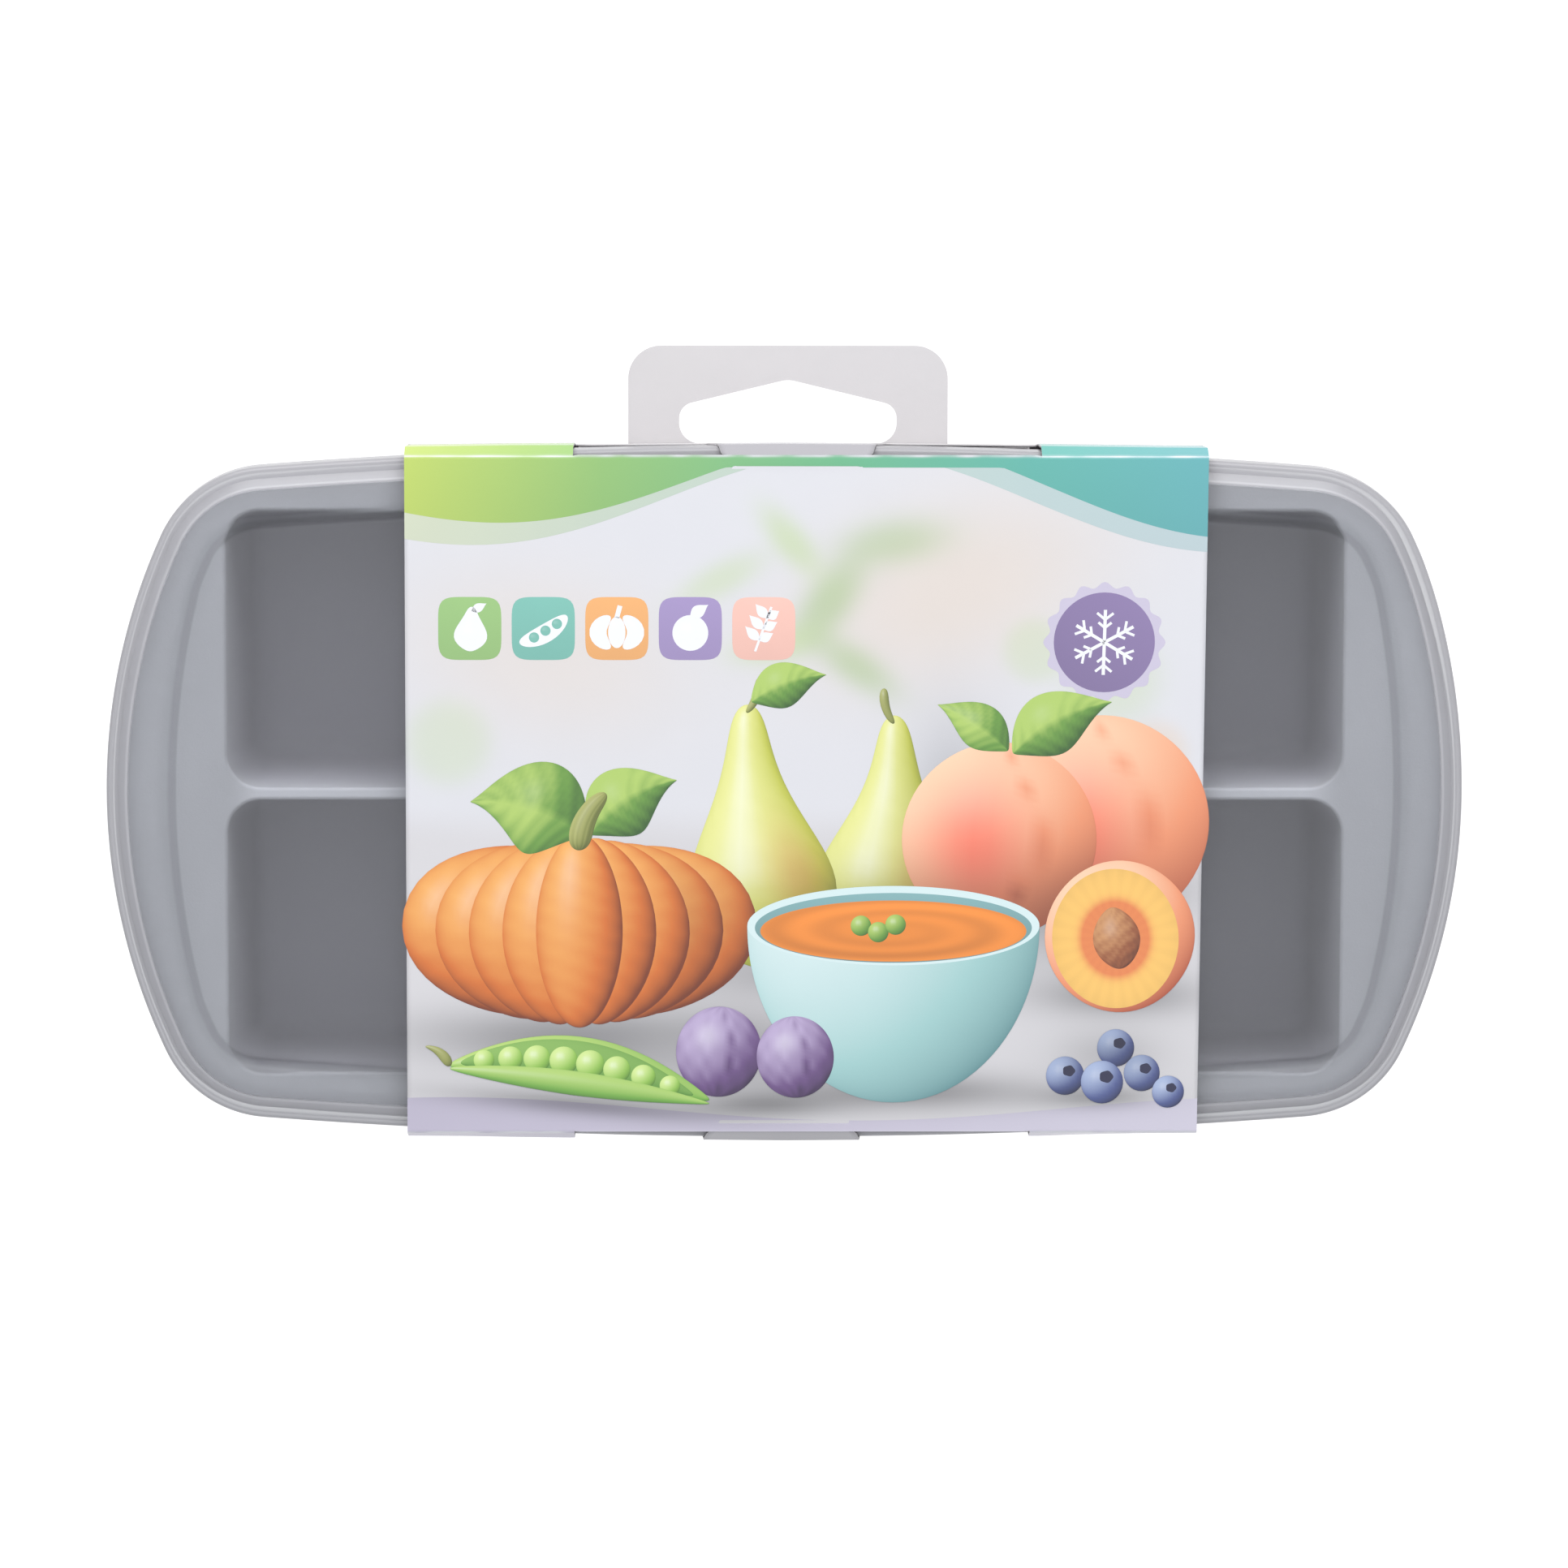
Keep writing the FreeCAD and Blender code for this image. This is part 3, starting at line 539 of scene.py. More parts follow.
# The picture's background: a pale table and wall with leaves and lights far out of focus, so it is
# painted on the panel's own points as soft spots.
PAPER = screen(219, 218, 222)
x_lines = np.union1d(np.linspace(CARD_LEFT, CARD_RIGHT, 148),
                     [WINDOW_LEFT, UPPER_WINDOW_RIGHT, LOWER_WINDOW_RIGHT])
s_half = np.union1d(np.union1d(np.linspace(0, panel_end, 88), panel_line[:, 0]),
                    [UPPER_WINDOW_CUT, LOWER_WINDOW_CUT])
s_lines = np.concatenate([-s_half[:0:-1], s_half])
card_x, card_s = np.meshgrid(x_lines, s_lines, indexing="ij")

paint = np.empty(card_x.shape + (3,))
paint[:] = PAPER
# The table's far edge is soft, and the table darkens a little towards the lower fold.
TABLE_EDGE = -4.0
table = 1 - smooth_step(card_s, TABLE_EDGE - 5, TABLE_EDGE + 3)
paint += table[..., None] * (screen(213, 210, 212) - PAPER)
paint *= (1 - 0.05 * smooth_step(card_s, -30, -62))[..., None]

LEAF_BLUR = screen(150, 185, 105)
LEAF_BLUR_PALE = screen(190, 210, 150)
WARM_BLUR = screen(226, 203, 178)
# Spots out of focus, as (x, y, reach x, reach y, turn, colour, strength, edge). Each mixes its colour in
# by strength * exp(-d^edge), with d the distance from its middle in its reaches.
BLURS = (
    (30, 38, 30, 16, 20, WARM_BLUR, 0.45, 2.5), (-44, 26, 26, 15, -10, WARM_BLUR, 0.30, 2.5),
    (8, 36, 10, 4.5, 55, LEAF_BLUR, 0.55, 2.6), (-2, 28, 8, 3.4, 12, LEAF_BLUR_PALE, 0.6, 2.6),
    (13, 24, 9, 3.6, -35, LEAF_BLUR, 0.5, 2.4), (1, 47, 8, 3.2, -50, LEAF_BLUR_PALE, 0.6, 2.6),
    (20, 47, 10, 4.4, 8, LEAF_BLUR, 0.45, 2.4), (-12, 40, 9, 3.2, 28, LEAF_BLUR_PALE, 0.45, 2.6),
    (60, 22, 9, 9, 0, LEAF_BLUR_PALE, 0.35, 4), (46, 27, 6, 6, 0, LEAF_BLUR_PALE, 0.35, 5),
    (68, 8, 6, 6, 0, WARM_BLUR, 0.5, 5), (-62, 10, 8, 8, 0, LEAF_BLUR_PALE, 0.35, 5))
for *spot, colour, strength, edge in BLURS:
    along, across = in_reaches(card_x, card_s, *spot)
    share = strength * np.exp(-np.hypot(along, across) ** edge)[..., None]
    paint[:] = paint * (1 - share) + colour * share
paint *= in_shadow(card_x, card_s, 0)


def card_piece(name, x, s, places, colours, kept, body, inwards=False):
    """A card of the grid's kept faces, with its thickness behind them, that replaces the node of the
    same name. A grid that faces inwards is turned over."""
    faces = grid_faces(*x.shape)[kept.ravel()]
    if inwards:
        faces = faces[:, ::-1]
    used = np.unique(faces)
    piece = new_piece(name + "_sheet", places.reshape(-1, 3)[used], np.searchsorted(used, faces),
                      colours.reshape(-1, 3)[used], printed_card, body)
    piece.data.materials.append(plain_card)
    wall = piece.modifiers.new("card_wall", "SOLIDIFY")
    wall.thickness = SHOWN_THICKNESS * MM
    wall.offset = -1.0
    wall.material_offset = 1
    wall.material_offset_rim = 1
    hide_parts(name)


def outside_windows(x, s, upper_cut, lower_cut):
    """True for the grid's faces that aren't in a window, which lies beyond its side's cut."""
    x, s = x[:-1, :-1] + 0.01, s[:-1, :-1]
    return (x < WINDOW_LEFT) | ~(((s > upper_cut - 0.01) & (x < UPPER_WINDOW_RIGHT))
                                 | ((s < -lower_cut - 0.001) & (x < LOWER_WINDOW_RIGHT)))


card_piece("front_card", card_x, card_s, on_card(card_x, card_s, 0), paint,
           outside_windows(card_x, card_s, UPPER_WINDOW_CUT, LOWER_WINDOW_CUT), "front")


# ---- Print ----------------------------------------------------------------------------------------
# The sleeve's picture is a still life of fruit and vegetables round a bowl of purée, between a waving
# band over the top fold and a pale one along the lower fold. Each printed shape is a film on the card.
LIGHT = np.array([-0.50, 0.62, 0.60])
LIGHT /= np.linalg.norm(LIGHT)
HALFWAY = LIGHT + (0, 0, 1)
HALFWAY /= np.linalg.norm(HALFWAY)

print_points, print_faces, print_colours = [], [], []


def print_shape(x, s, colours, layer):
    """Adds a grid of places (x, s) with their colours to the print, turned to face outwards. Shadows
    of higher layers darken it."""
    faces = grid_faces(*x.shape)
    turn = np.sum(np.gradient(x, axis=0) * np.gradient(s, axis=1)
                  - np.gradient(s, axis=0) * np.gradient(x, axis=1))
    if turn < 0:
        faces = faces[:, ::-1]
    print_faces.append(faces + sum(len(points) for points in print_points))
    print_points.append(on_card(x, s, layer).reshape(-1, 3))
    print_colours.append((np.broadcast_to(colours, x.shape + (3,)) * in_shadow(x, s, layer)).reshape(-1, 3))


def shade(facing, colours, gloss, tone_change):
    """Colours of a lit form. Its tone, 0.5 + 0.5 * (facing . light), picks between a dark, a middle
    and a fair colour, and the highlight gloss * (facing . halfway)^28 adds white."""
    tone = np.clip(0.5 + 0.5 * facing @ LIGHT + tone_change, 0, 1)
    colour = np.stack([np.interp(tone, (0.12, 0.55, 0.98), channel) for channel in zip(*colours)], -1)
    shine = 0.8 * gloss * np.clip(facing @ HALFWAY, 0, 1) ** 28
    return colour + (1 - colour) * shine[..., None]


def bezier(controls, t):
    """The Bezier curve of the control numbers at t: the sum of C(n, i) t^i (1 - t)^(n - i) times each."""
    n = len(controls) - 1
    return sum(math.comb(n, i) * t**i * (1 - t) ** (n - i) * control for i, control in enumerate(controls))


def turned_form(foot, tip, girth, colours, layer, bend=0.0, gloss=0.3, skin=None, blush=None,
                end=1.0, rows=36, columns=18):
    """A body of revolution that lies in the picture. Its axis runs from foot to tip and bows aside by
    bend * 4t(1 - t). Its half width at t is the Bezier curve of girth times sqrt(4t(1 - t)); at the
    share q across, -1 to 1, it faces q sideways and sqrt(1 - q²) up, tilted by its slope. skin(t, q)
    changes the tone, blush is a colour with its share from (t, q), and the form stops at t = end."""
    t = (end * (1 - np.cos(np.linspace(0, math.pi, rows))) / 2)[:, None]
    q = np.sin(np.linspace(-math.pi / 2, math.pi / 2, columns))[None, :]
    foot, tip = np.array(foot, float), np.array(tip, float)
    run = tip - foot
    length = np.linalg.norm(run)
    aside = np.array([run[1], -run[0]]) / length
    ahead = run + aside * bend * (4 - 8 * t)
    ahead /= np.linalg.norm(ahead, axis=1, keepdims=True)
    across = np.column_stack([ahead[:, 1], -ahead[:, 0]])
    width = bezier(girth, t) * np.sqrt(np.clip(4 * t * (1 - t), 0, 1))
    slope = np.gradient(width[:, 0], t[:, 0])[:, None] / length
    level = 1 / np.sqrt(1 + slope**2)
    axis = foot + run * t + aside * bend * 4 * t * (1 - t)
    place = axis[:, None] + across[:, None] * (width * q)[..., None]
    flat = across[:, None] * (level * q)[..., None] - ahead[:, None] * (slope * level * q**0)[..., None]
    facing = np.concatenate([flat, (level * np.sqrt(1 - q**2))[..., None]], -1)
    colour = shade(facing, colours, gloss, 0.0 if skin is None else skin(t, q))
    if blush is not None:
        share = np.clip(blush[1](t, q), 0, 1)[..., None]
        colour = colour * (1 - share) + colour.mean(-1, keepdims=True) * 2 * blush[0] * share
    print_shape(place[..., 0], place[..., 1], colour, layer)


def oval(centre, radii, colours, layer, turn=0.0, squareness=2.0, scallops=0, rings=10, spokes=57):
    """A filled oval, rounded square or scalloped seal. At the angle a its edge lies at the radii times
    (|cos a|^p + |sin a|^p)^(-1/p), and 5 % of waves for scallops. colours is one colour, or gives
    one at (share of the radius, angle)."""
    rho = np.linspace(0, 1, rings)[:, None]
    angle = np.linspace(0, 2 * math.pi, spokes)[None, :]
    reach = (np.abs(np.cos(angle)) ** squareness + np.abs(np.sin(angle)) ** squareness) ** (-1 / squareness)
    if scallops:
        reach = reach * (1 + 0.05 * np.cos(scallops * angle))
    x, y = radii[0] * rho * reach * np.cos(angle), radii[1] * rho * reach * np.sin(angle)
    turn = math.radians(turn)
    colour = colours(rho, angle) if callable(colours) else colours
    print_shape(centre[0] + x * math.cos(turn) - y * math.sin(turn),
                centre[1] + x * math.sin(turn) + y * math.cos(turn), colour, layer)


def lit_disc(colour, strength, turn=0.0):
    """An oval's colours that brighten upwards: the colour times 1 + strength * rho * sin(angle + turn)."""
    return lambda rho, angle: colour * (1 + strength * rho * np.sin(angle + turn))[..., None]


def stroke(start, finish, half_width, colour, layer):
    """A straight line of ink, as the four corners at its half width on either side."""
    start, finish = np.array(start, float), np.array(finish, float)
    run = finish - start
    side = np.array([-run[1], run[0]]) / np.linalg.norm(run) * half_width
    corners = np.array([[start - side, start + side], [finish - side, finish + side]])
    print_shape(corners[..., 0], corners[..., 1], colour, layer)


def hues(*colours):
    """Screen colours as the dark, middle and fair colour of a form."""
    return tuple(screen(*colour) for colour in colours)


LEAF = hues((52, 92, 38), (104, 152, 62), (176, 204, 104))
STALK = hues((70, 78, 34), (122, 128, 62), (176, 178, 106))
WHITE_INK = (screen(240, 240, 243),) * 3


def leaf_veins(t, q):
    """A pale midrib, side veins that slant forwards in waves, and one half darker than the other."""
    return 0.22 * np.exp(-((q / 0.07) ** 2)) + 0.07 * np.sin(46 * (t - 0.16 * np.abs(q))) - 0.12 * np.sign(q)


def leaf(foot, tip, half_width, layer, bend=0.0, colours=LEAF):
    """A leaf: a flat turned form that is widest near its foot, with its veins."""
    girth = (half_width * 0.5, half_width * 1.9, half_width * 0.9, half_width * 0.1)
    turned_form(foot, tip, girth, colours, layer, bend, 0.10, leaf_veins, rows=44, columns=16)


def ball(centre, radius, colours, layer, gloss=0.4, rows=18, columns=12):
    """A small round form, turned about its upright axis."""
    x, y = centre
    turned_form((x, y - radius), (x, y + radius), (radius,), colours, layer, 0.0, gloss,
                rows=rows, columns=columns)


# The waving bands: each is a strip between its edge line and the card's end, or the windows' edge.
# Its lines follow the wave up to where it joins the panel's own. Along the fold the ink is paled, partly as
# wear and partly as a painted highlight.
FOLD_LENGTH = 62.75
BAND_LEAST, BAND_JOIN = 60.6, 61.0


def waving_band(side, edge, hue_stops, pale, layer):
    """side is 1 for the top and -1 for the bottom, edge gives the height of the inner edge at x, and
    hue_stops lists (x, colour) from left to right."""
    stops, colours = zip(*hue_stops)
    window_right, window_cut = LOWER_WINDOW_RIGHT, LOWER_WINDOW_CUT
    if side > 0:
        window_right, window_cut = UPPER_WINDOW_RIGHT, UPPER_WINDOW_CUT
    for left, right, end in ((CARD_LEFT, WINDOW_LEFT, panel_end), (WINDOW_LEFT, window_right, window_cut),
                             (window_right, CARD_RIGHT, panel_end)):
        x = x_lines[(x_lines >= left) & (x_lines <= right)][:, None]
        beyond = s_half[(s_half > BAND_JOIN) & (s_half <= end + 1e-6)]
        low = np.minimum(edge(x), BAND_LEAST)
        rising = low + (BAND_JOIN - low) * np.linspace(0, 1, 14)
        reach = np.concatenate([rising, np.repeat(beyond[None], len(x), 0)], 1)
        x = np.repeat(x, reach.shape[1], 1)
        hue = np.stack([np.interp(x, stops, channel) for channel in zip(*colours)], -1)
        hue = hue * (1 + 0.08 * np.clip((reach - 54) / 12, -1, 1))[..., None]
        # Paler along the fold: worn ink and a painted highlight of the fold.
        fold_wear_and_highlight = 0.80 * np.exp(-(((reach - FOLD_LENGTH) / 0.28) ** 2)) * (0.85 + 0.25 * mottle(x, reach, 6.0))
        share = np.clip(pale + fold_wear_and_highlight, 0, 1)[..., None]
        print_shape(x, side * reach, hue * (1 - share) + PAPER * share, layer)


TOP_HUES = ((CARD_LEFT, screen(184, 204, 96)), (-34, screen(140, 184, 108)), (10, screen(104, 176, 132)),
            (45, screen(92, 172, 160)), (CARD_RIGHT, screen(96, 170, 174)))
LILAC_HUES = ((CARD_LEFT, screen(150, 134, 170)), (CARD_RIGHT, screen(186, 176, 200)))
waving_band(1, lambda x: 54.0 - 5.5 * np.cos((x + 74) / 26) - 4.0 * np.cos((x - 74) / 19),
            TOP_HUES, 0.62, 1)
waving_band(1, lambda x: 57.0 - 5.0 * np.cos((x + 76) / 26) - 4.5 * np.cos((x - 80) / 19), TOP_HUES, 0.0, 2)
waving_band(-1, lambda x: 58.2 - 2.2 * np.cos((x + 62) / 24), LILAC_HUES, 0.45, 1)

# Five pastel squares, each with a white outline figure: a pear, peas, a pumpkin, a plum and a sprig.
SQUARES = ((-58, (150, 190, 120)), (-44.5, (122, 186, 172)), (-31, (236, 172, 108)), (-17.5, (160, 142, 188)),
           (-4, (240, 190, 176)))
for place, tone in SQUARES:
    oval((place, 31), (5.8, 5.8), lit_disc(screen(*tone), 0.08), 1, squareness=5.0)
turned_form((-58, 26.8), (-57.6, 35.0), (2.6, 5.0, 0.9, 1.6), WHITE_INK, 2, rows=20, columns=8)
leaf((-57.6, 34.2), (-54.9, 35.6), 0.7, 2, colours=WHITE_INK)
turned_form((-48.9, 28.4), (-40.2, 33.4), (1.7,), WHITE_INK, 2, bend=0.9, rows=20, columns=8)
for step in (-0.5, 0.0, 0.5):
    ball((-44.1 + 4.2 * step, 30.6 + 2.5 * step), 0.95, (screen(122, 186, 172),) * 3, 3, rows=10, columns=7)
for step in (-2.3, 0.0, 2.3):
    turned_form((-31 + step * 0.5, 27.4), (-31 + step * 0.5, 33.2), (1.6,), WHITE_INK, 2, bend=step,
                rows=16, columns=7)
stroke((-31, 33.0), (-30.4, 35.2), 0.45, WHITE_INK[0], 2)
ball((-17.5, 30.2), 3.3, WHITE_INK, 2, rows=16, columns=10)
leaf((-17.5, 33.2), (-14.2, 35.4), 1.0, 3, colours=WHITE_INK)
stroke((-5.6, 26.8), (-2.6, 35.0), 0.22, WHITE_INK[0], 2)
for height, aside in ((0.25, 2.6), (0.5, 2.6), (0.75, 2.2)):
    x, y = -5.6 + 3.0 * height, 26.8 + 8.2 * height
    leaf((x, y), (x + aside, y + 1.3), 0.8, 2, colours=WHITE_INK)
    leaf((x, y), (x - aside, y + 2.6), 0.8, 2, colours=WHITE_INK)

# A purple seal with a snowflake.
SEAL = (58.5, 28.5)
oval(SEAL, (10.6, 10.6), screen(202, 194, 214), 1, scallops=16, spokes=129)
oval(SEAL, (9.2, 9.2), lit_disc(screen(134, 116, 160), 0.10, 0.6), 2)
for arm in range(6):
    ahead = np.array([math.cos(arm * math.pi / 3 + 0.5), math.sin(arm * math.pi / 3 + 0.5)])
    aside = np.array([-ahead[1], ahead[0]])
    stroke(SEAL, SEAL + ahead * 6.0, 0.30, WHITE_INK[0], 3)
    for share, barb in ((2.7, 1.2), (4.2, 1.5)):
        for sign in (-1, 1):
            barb_tip = SEAL + ahead * (share + barb * 0.8) + aside * sign * barb
            stroke(SEAL + ahead * share, barb_tip, 0.24, WHITE_INK[0], 3)

# A pumpkin of nine ribs, the outer ones first.
PUMPKIN = hues((122, 52, 18), (214, 112, 40), (248, 180, 96))
for order, rib in enumerate((-4, 4, -3, 3, -2, 2, -1, 1, 0)):
    turned_form((-38 + rib * 2.2, -43 + abs(rib) * 0.9), (-38 + rib * 1.4, -7 - abs(rib) * 1.1),
                (7.5, 8.5, 7.5), PUMPKIN, 3 + 0.2 * order, bend=rib * 4.4, gloss=0.22,
                skin=lambda t, q: -0.16 * q**4 + 0.02 * np.sin(t * 60 + q * 5) - 0.03)
turned_form((-38, -10), (-33, 0.5), (3.4, 1.2, 2.2), STALK, 5.2, bend=-1.4, gloss=0.1,
            skin=lambda t, q: 0.10 * np.cos(q * 14))
leaf((-37, -7), (-58, -1), 7.5, 4.9, bend=2.4)
leaf((-36, -7), (-20, 3), 5.6, 5.0, bend=-1.8)

# Two pears behind the bowl.
PEAR = hues((112, 118, 30), (192, 196, 74), (234, 234, 150))
PEARS = (((16, -30), (20, 15), 12.5, 1.4, 2.0), ((-2, -32), (-7, 17), 13.5, -1.0, 2.4))


def pear_skin(t, q):
    """Fine speckles and an edge a little darker."""
    return 0.02 * np.sin(t * 90) * np.cos(q * 40) - 0.05 * q**6


def pear_blush(t, q):
    """A red cheek on the right of the belly, as a bell of t and q."""
    return 0.42 * np.exp(-(((t - 0.32) / 0.2) ** 2) - (((q - 0.55) / 0.4) ** 2))


for foot, tip, size, bend, layer in PEARS:
    girth = (size * 0.95, size * 1.75, size * 0.55, size * 0.22, size * 0.50)
    turned_form(foot, tip, girth, PEAR, layer, bend, 0.5, pear_skin, (screen(206, 92, 58), pear_blush))
turned_form((-7.2, 15.5), (-4.8, 22.0), (0.9, 0.5, 1.3), STALK, 2.7, bend=0.7, rows=14, columns=8)
turned_form((20, 13.5), (18.2, 20.0), (0.9, 0.5, 1.3), STALK, 2.7, bend=-0.7, rows=14, columns=8)
leaf((-6.2, 17.5), (7.5, 22.5), 3.6, 2.9, bend=-1.0)

# Two peaches and a halved one.
PEACH = hues((168, 74, 48), (238, 150, 108), (252, 212, 176))
PEACH_BLUSH = screen(226, 84, 66)


def cleft(t, q, bow, width):
    """A line that curves from end to end of a form: a bell of q round bow * sin(pi t)."""
    return np.exp(-(((q - bow * np.sin(math.pi * t)) / width) ** 2))


def peach_skin(t, q):
    """A dark cleft and a pale, downy edge."""
    return 0.10 * q**8 - 0.20 * cleft(t, q, 0.42, 0.05)


def peach_blush(t, q):
    """A wide red cheek left of the middle, as a bell of t and q."""
    return 0.75 * np.exp(-(((t - 0.45) / 0.34) ** 2) - (((q + 0.25) / 0.55) ** 2))


for foot, tip, girth, layer in (((60, -25), (57, 15), (19.0, 20.5, 19.0), 3),
                                ((38, -26), (41, 10), (17.5, 18.5, 17.5), 3.4)):
    turned_form(foot, tip, girth, PEACH, layer, gloss=0.12, skin=peach_skin, blush=(PEACH_BLUSH, peach_blush))
leaf((42, 8), (60, 17.5), 5.0, 3.8, bend=-1.6)
leaf((41, 8.5), (28, 17), 3.6, 4.0, bend=1.0)

# The bowl: its outside, rim, inside and the purée with a swirl.
BOWL = hues((92, 138, 142), (160, 202, 200), (226, 240, 240))
turned_form((20, -57), (20, 9), (27.0,), BOWL, 6, gloss=0.9, end=0.5, rows=30, columns=28)
oval((20, -24), (27.0, 7.4), screen(214, 233, 233), 6.4, spokes=97)
oval((20, -24.4), (25.6, 6.5), lit_disc(screen(120, 160, 162), 0.25), 6.8, spokes=97)


def swirl(rho, angle):
    """The purée's colour, in a spiral wave that grows outwards, and brighter at the far side."""
    tone = 1 + 0.16 * np.sin(5.0 * rho * math.pi + angle) * rho + 0.10 * rho * np.sin(angle)
    return screen(232, 136, 52) * tone[..., None]


oval((20, -25.0), (24.6, 5.7), swirl, 7.2, rings=22, spokes=97)
for order, (x, y) in enumerate(((14, -24.0), (17.2, -25.2), (20.4, -23.8))):
    ball((x, y), 1.9, LEAF, 7.6 + 0.2 * order)

# The halved peach shows its flesh and stone.
turned_form((64, -40), (60, -12), (13.5, 14.5, 13.5), PEACH, 6, gloss=0.1, blush=(PEACH_BLUSH, peach_blush))
PEACH_FLESH, STONE_RED = screen(248, 196, 104), screen(222, 88, 60)
STONE = hues((88, 40, 22), (150, 84, 48), (206, 148, 98))


def flesh(rho, angle):
    """The cut face: pale flesh with fine rays, and a red ring at 0.42 of the radius round the stone."""
    rays = 1 - 0.10 * rho**6 + 0.03 * np.cos(26 * angle) * rho
    ring = np.clip(1.6 * np.exp(-(((rho - 0.42) / 0.13) ** 2)), 0, 0.7)
    return PEACH_FLESH * rays[..., None] + (STONE_RED - PEACH_FLESH) * ring[..., None]


oval((61.2, -26.4), (11.8, 13.0), flesh, 6.4, turn=8, rings=22, spokes=97)
turned_form((62.4, -32), (60.4, -20.6), (3.6, 5.4, 3.2), STONE, 6.8, gloss=0.15,
            skin=lambda t, q: 0.12 * np.sin(t * 34 + 3 * np.sin(q * 6)) * np.cos(q * 9))

# Plums and blueberries with a pale bloom.
PLUM = hues((44, 26, 58), (106, 76, 128), (188, 170, 206))


def plum_skin(t, q):
    """A patchy bloom that grows to the upper right, and a dark cleft."""
    return 0.05 * np.sin(t * 21) * np.cos(q * 13) + 0.06 * (q + 0.3) * t - 0.16 * cleft(t, q, 0.3, 0.06)


for x, y, radius, turn, layer in ((-13, -47.5, 8.4, 1.5, 7.0), (2.5, -48.5, 7.6, -1.2, 7.4)):
    turned_form((x, y - radius), (x + turn, y + radius), (radius * 0.94,), PLUM, layer, gloss=0.35,
                skin=plum_skin)
BERRY = hues((30, 32, 66), (76, 88, 142), (168, 182, 214))
BERRIES = ((52, -52, 3.6), (61.5, -46.8, 3.5), (66.5, -51.5, 3.4), (59, -53.2, 4.0), (71.5, -55.0, 3.0))
for order, (x, y, radius) in enumerate(BERRIES):
    ball((x, y), radius, BERRY, 7 + 0.4 * order, 0.25)
    oval((x + 0.2 * radius, y + 0.25 * radius), (radius * 0.32, radius * 0.28), screen(38, 38, 70),
         7.2 + 0.4 * order, scallops=5, rings=4)

# An open pea pod.
POD = hues((46, 92, 34), (112, 168, 66), (186, 216, 118))
POD_INSIDE = hues((60, 104, 42), (96, 148, 60), (140, 184, 92))
PEA = hues((66, 116, 36), (142, 190, 76), (212, 234, 148))
turned_form((-62, -50), (-14, -56.5), (2.6, 6.6, 6.6, 2.0), POD, 7.8, bend=-3.0, gloss=0.25)
turned_form((-60, -49.6), (-17, -55.6), (2.2, 4.6, 4.6, 1.6), POD_INSIDE, 8.1, bend=-3.2, gloss=0.0)
for order, share in enumerate(np.linspace(0.10, 0.90, 8)):
    x = -60 + 43 * share
    y = -49.6 - 6 * share + 12.6 * share * (1 - share)
    ball((x, y), 1.5 + 4.6 * share * (1 - share), PEA, 8.4 + 0.05 * order, 0.5)
turned_form((-62, -50.6), (-14, -57.2), (1.4, 2.6, 2.6, 1.0), POD, 9.0, bend=-0.4, gloss=0.35)
turned_form((-62, -50.2), (-66.5, -46.5), (1.4, 0.7, 0.5), STALK, 9.2, bend=0.8, rows=14, columns=8)

new_piece("front_card_print", np.concatenate(print_points), np.concatenate(print_faces),
          np.concatenate(print_colours), printed_card, "front")


# ---- Back card ------------------------------------------------------------------------------------
# The sleeve's plain back, folded up left and right of the windows to the seam under the shoulders.
# Its walls lean in a little towards the back, and their upper ends lie just inside the shoulders.
BACK_CORNERS = ((63.7, 30.55, 0), (62.15, 0.45, 0.5), (0.0, 0.45, 0))
BACK_WINDOW_CUT = 62.6
SEAM_DEPTH = 0.15

back_line = folded_line(BACK_CORNERS)[::-1]
back_line[:, 0] = back_line[0, 0] - back_line[:, 0]
back_s_half = np.union1d(np.linspace(0, BACK_WINDOW_CUT, 40),
                    np.concatenate([back_line[:, 0], np.linspace(BACK_WINDOW_CUT, back_line[-1, 0], 24)]))
back_x, back_s = np.meshgrid(x_lines, np.concatenate([-back_s_half[:0:-1], back_s_half]), indexing="ij")
back_places = on_line(back_line, back_x, back_s, 0)
lift = back_places[..., 2] / back_line[-1, 2]
outwards = shoulder_reach(back_x, back_s) - SEAM_DEPTH - back_line[-1, 1]
back_places[..., 1] += np.sign(back_s) * lift**2 * outwards
card_piece("back_card", back_x, back_s, back_places * MM, np.tile(WHITE_CARD, back_x.shape + (1,)),
           outside_windows(back_x, back_s, BACK_WINDOW_CUT, BACK_WINDOW_CUT), "sleeve",
           inwards=True)


# ---- Lock flaps -----------------------------------------------------------------------------------
# Each long side's wall between the shoulders is a flap folded up from the back. Its tongue crosses the window
# over the lid's rim and tucks in behind the front panel. It lies against the lid, so that it bows with it.
# Its face is painted greyer towards the tip, as shade on the tucked-in tongue.
FLAP_CORNERS = ((60.9, 43.55, 0), (62.3, 43.55, 0.5), (64.4, 40.5, 0.5), (64.38, 34.0, 2.0), (62.4, 0.7, 0))
FLAP_TOP = 32.0
FLAP_PLACES = (-38.7, -28.0, 0.0, 39.5, 46.7)
FLAP_INSETS = (0.42, 0.34, 0.05, 0.36, 0.48)
INSET_FULL, INSET_TO, INSET_GONE = 31, 41, 43.5
FLAP_SIDE_GAP = 0.3
FLAP_CORNER = 3.0
TONGUE_PROFILE = ((0.0, 11.2), (0.6, 12.3), (1.6, 13.2), (3.2, 14.0), (6.0, 14.5), (10.0, 14.7), (12.6, 16.5))
# Painted shade: the tongue is greyer where it crosses the window and tucks in under the panel.
TONGUE_PAINTED_SHADE = np.array((0.39, 0.375, 0.40))
GREY_TO, GREY_GONE = 6, 16

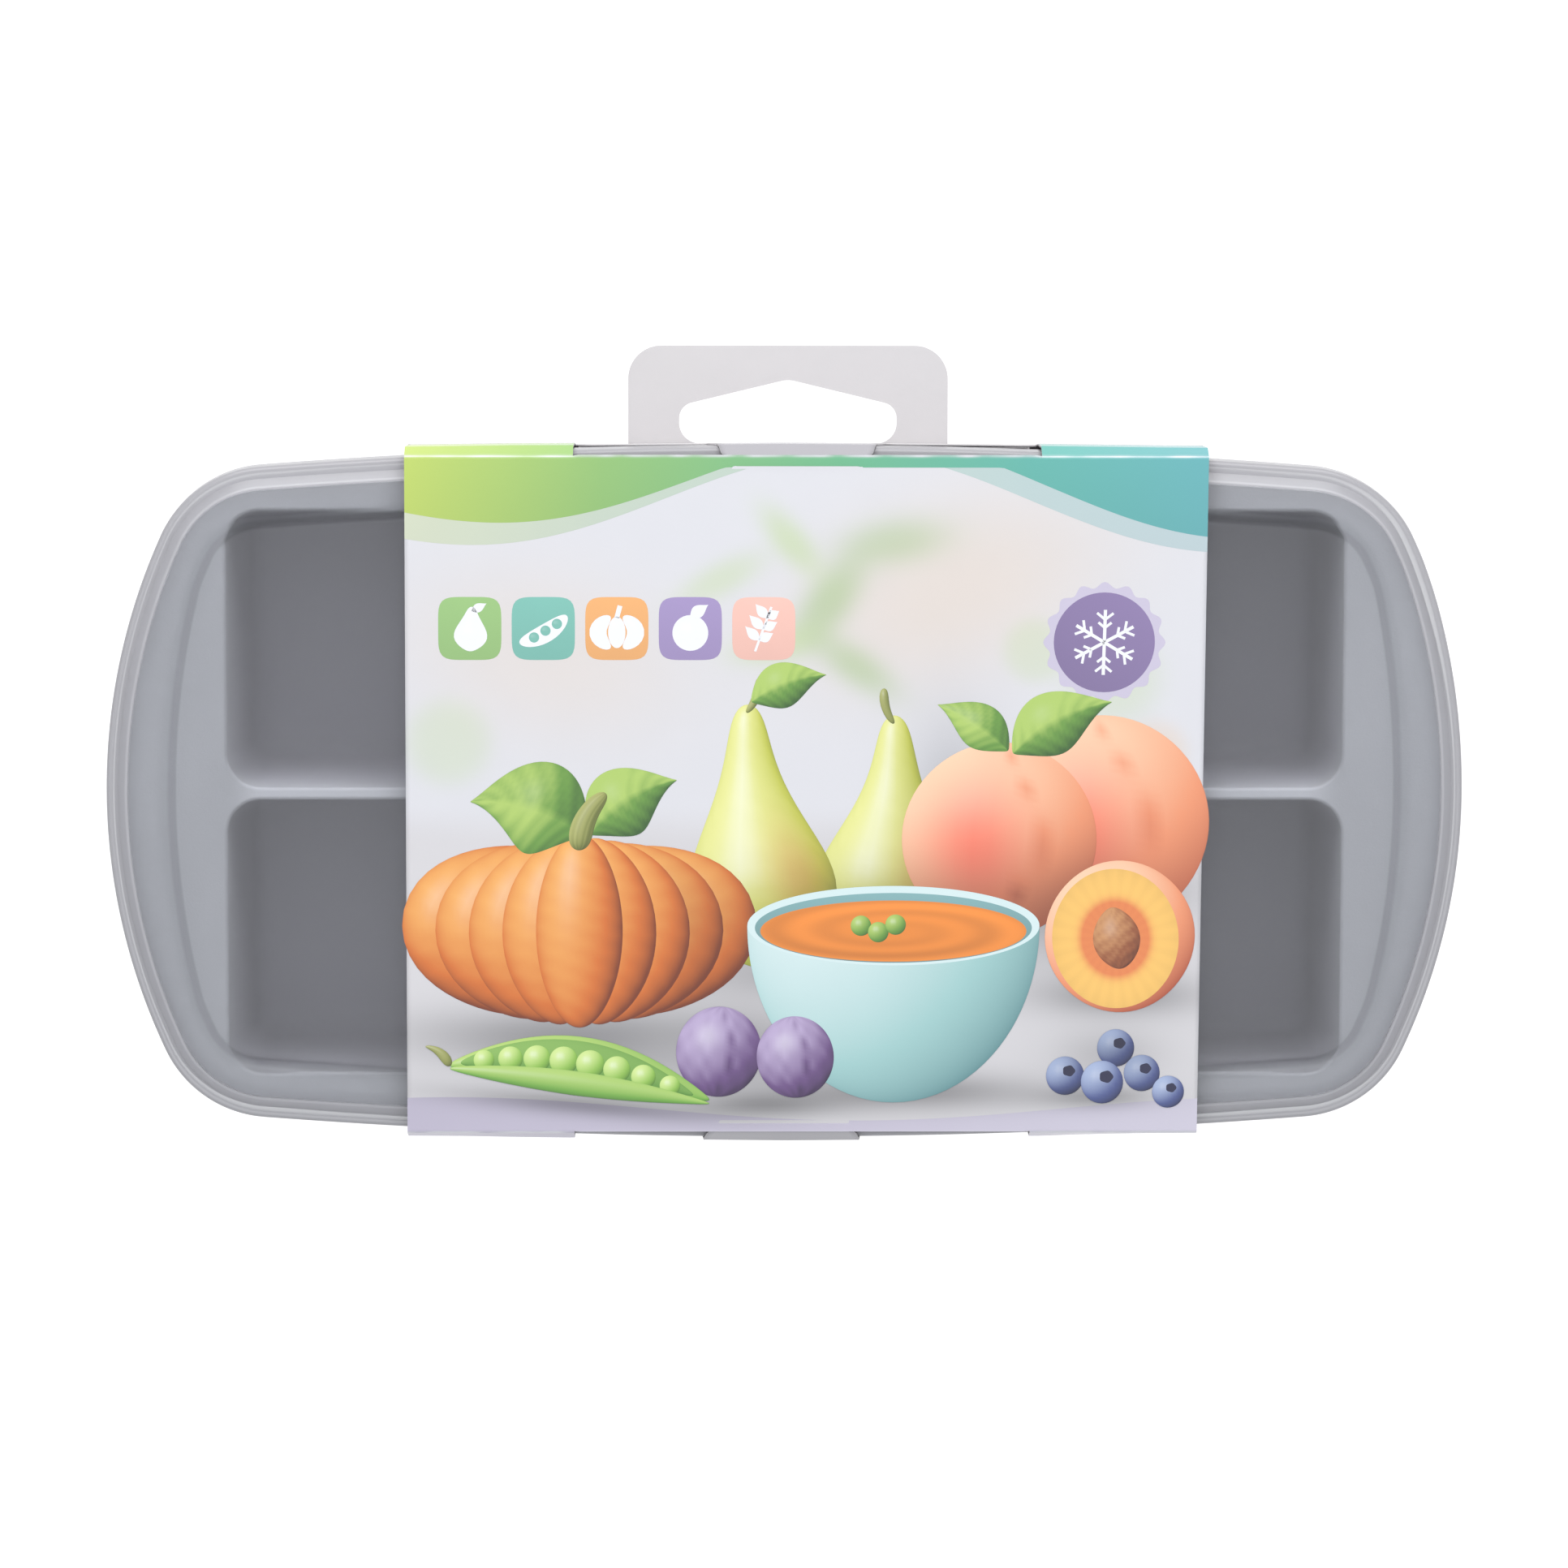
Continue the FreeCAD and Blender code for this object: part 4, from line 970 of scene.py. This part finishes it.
flap_line = folded_line(FLAP_CORNERS)
top_length = np.interp(-FLAP_TOP, -flap_line[:, 2], flap_line[:, 0])
flap_s_lines = np.union1d(flap_line[:, 0], np.append(np.linspace(0, flap_line[-1, 0], 60), top_length))
for (centre, tip), window_right, node, body in zip(
        TONGUES, (UPPER_WINDOW_RIGHT, LOWER_WINDOW_RIGHT), ("upper_lock_flap", "lower_lock_flap"),
        ("upper_flap", "lower_flap")):
    left, right = WINDOW_LEFT + FLAP_SIDE_GAP, window_right - FLAP_SIDE_GAP
    root = TONGUE_PROFILE[-1][1]
    tongue_lines = np.linspace(centre - root, centre + root, 25)
    closing_in = np.linspace(0, 1, 24)[:-1] ** 1.5
    moving_off = np.linspace(1, 0, 24)[1:] ** 1.5
    flap_x_lines = np.concatenate([left + (tongue_lines[0] - left) * closing_in, tongue_lines,
                              right + (tongue_lines[-1] - right) * moving_off])
    flap_x, flap_s = np.meshgrid(flap_x_lines, flap_s_lines, indexing="ij")
    in_tongue = (np.abs(flap_x - centre) < root + 0.01) & (flap_s < top_length)
    narrow = np.interp(flap_s, *zip(*TONGUE_PROFILE)) / root
    placed_x = np.where(in_tongue, centre + (flap_x - centre) * narrow, flap_x)
    corner = np.clip(FLAP_CORNER - np.minimum(flap_x - left, right - flap_x), 0, FLAP_CORNER)
    drop = FLAP_CORNER - np.sqrt(FLAP_CORNER**2 - corner**2)
    down = (flap_s - top_length) / (flap_s_lines[-1] - top_length)
    placed_s = np.where(flap_s < top_length, flap_s, flap_s + drop * (1 - down))
    places = on_line(flap_line, placed_x, np.maximum(placed_s, 1e-6), 0)
    height = places[..., 2]
    pressed = smooth_step(height, 0, INSET_FULL) * (1 - smooth_step(height, INSET_TO, INSET_GONE))
    places[..., 1] -= np.interp(placed_x, FLAP_PLACES, FLAP_INSETS) * pressed
    places[..., 1] *= math.copysign(1, tip)
    grey = (1 - smooth_step(placed_s, GREY_TO, GREY_GONE))[..., None]
    colours = np.array(WHITE_CARD) * (1 - grey) + TONGUE_PAINTED_SHADE * grey
    if tip < 0:
        places, placed_x, in_tongue, flap_s, colours = (
            values[::-1] for values in (places, placed_x, in_tongue, flap_s, colours))
    kept = (flap_s[:-1, :-1] > top_length - 0.001) | (in_tongue[:-1, :-1] & in_tongue[1:, :-1])
    card_piece(node, placed_x, flap_s, places * MM, colours, kept, body)
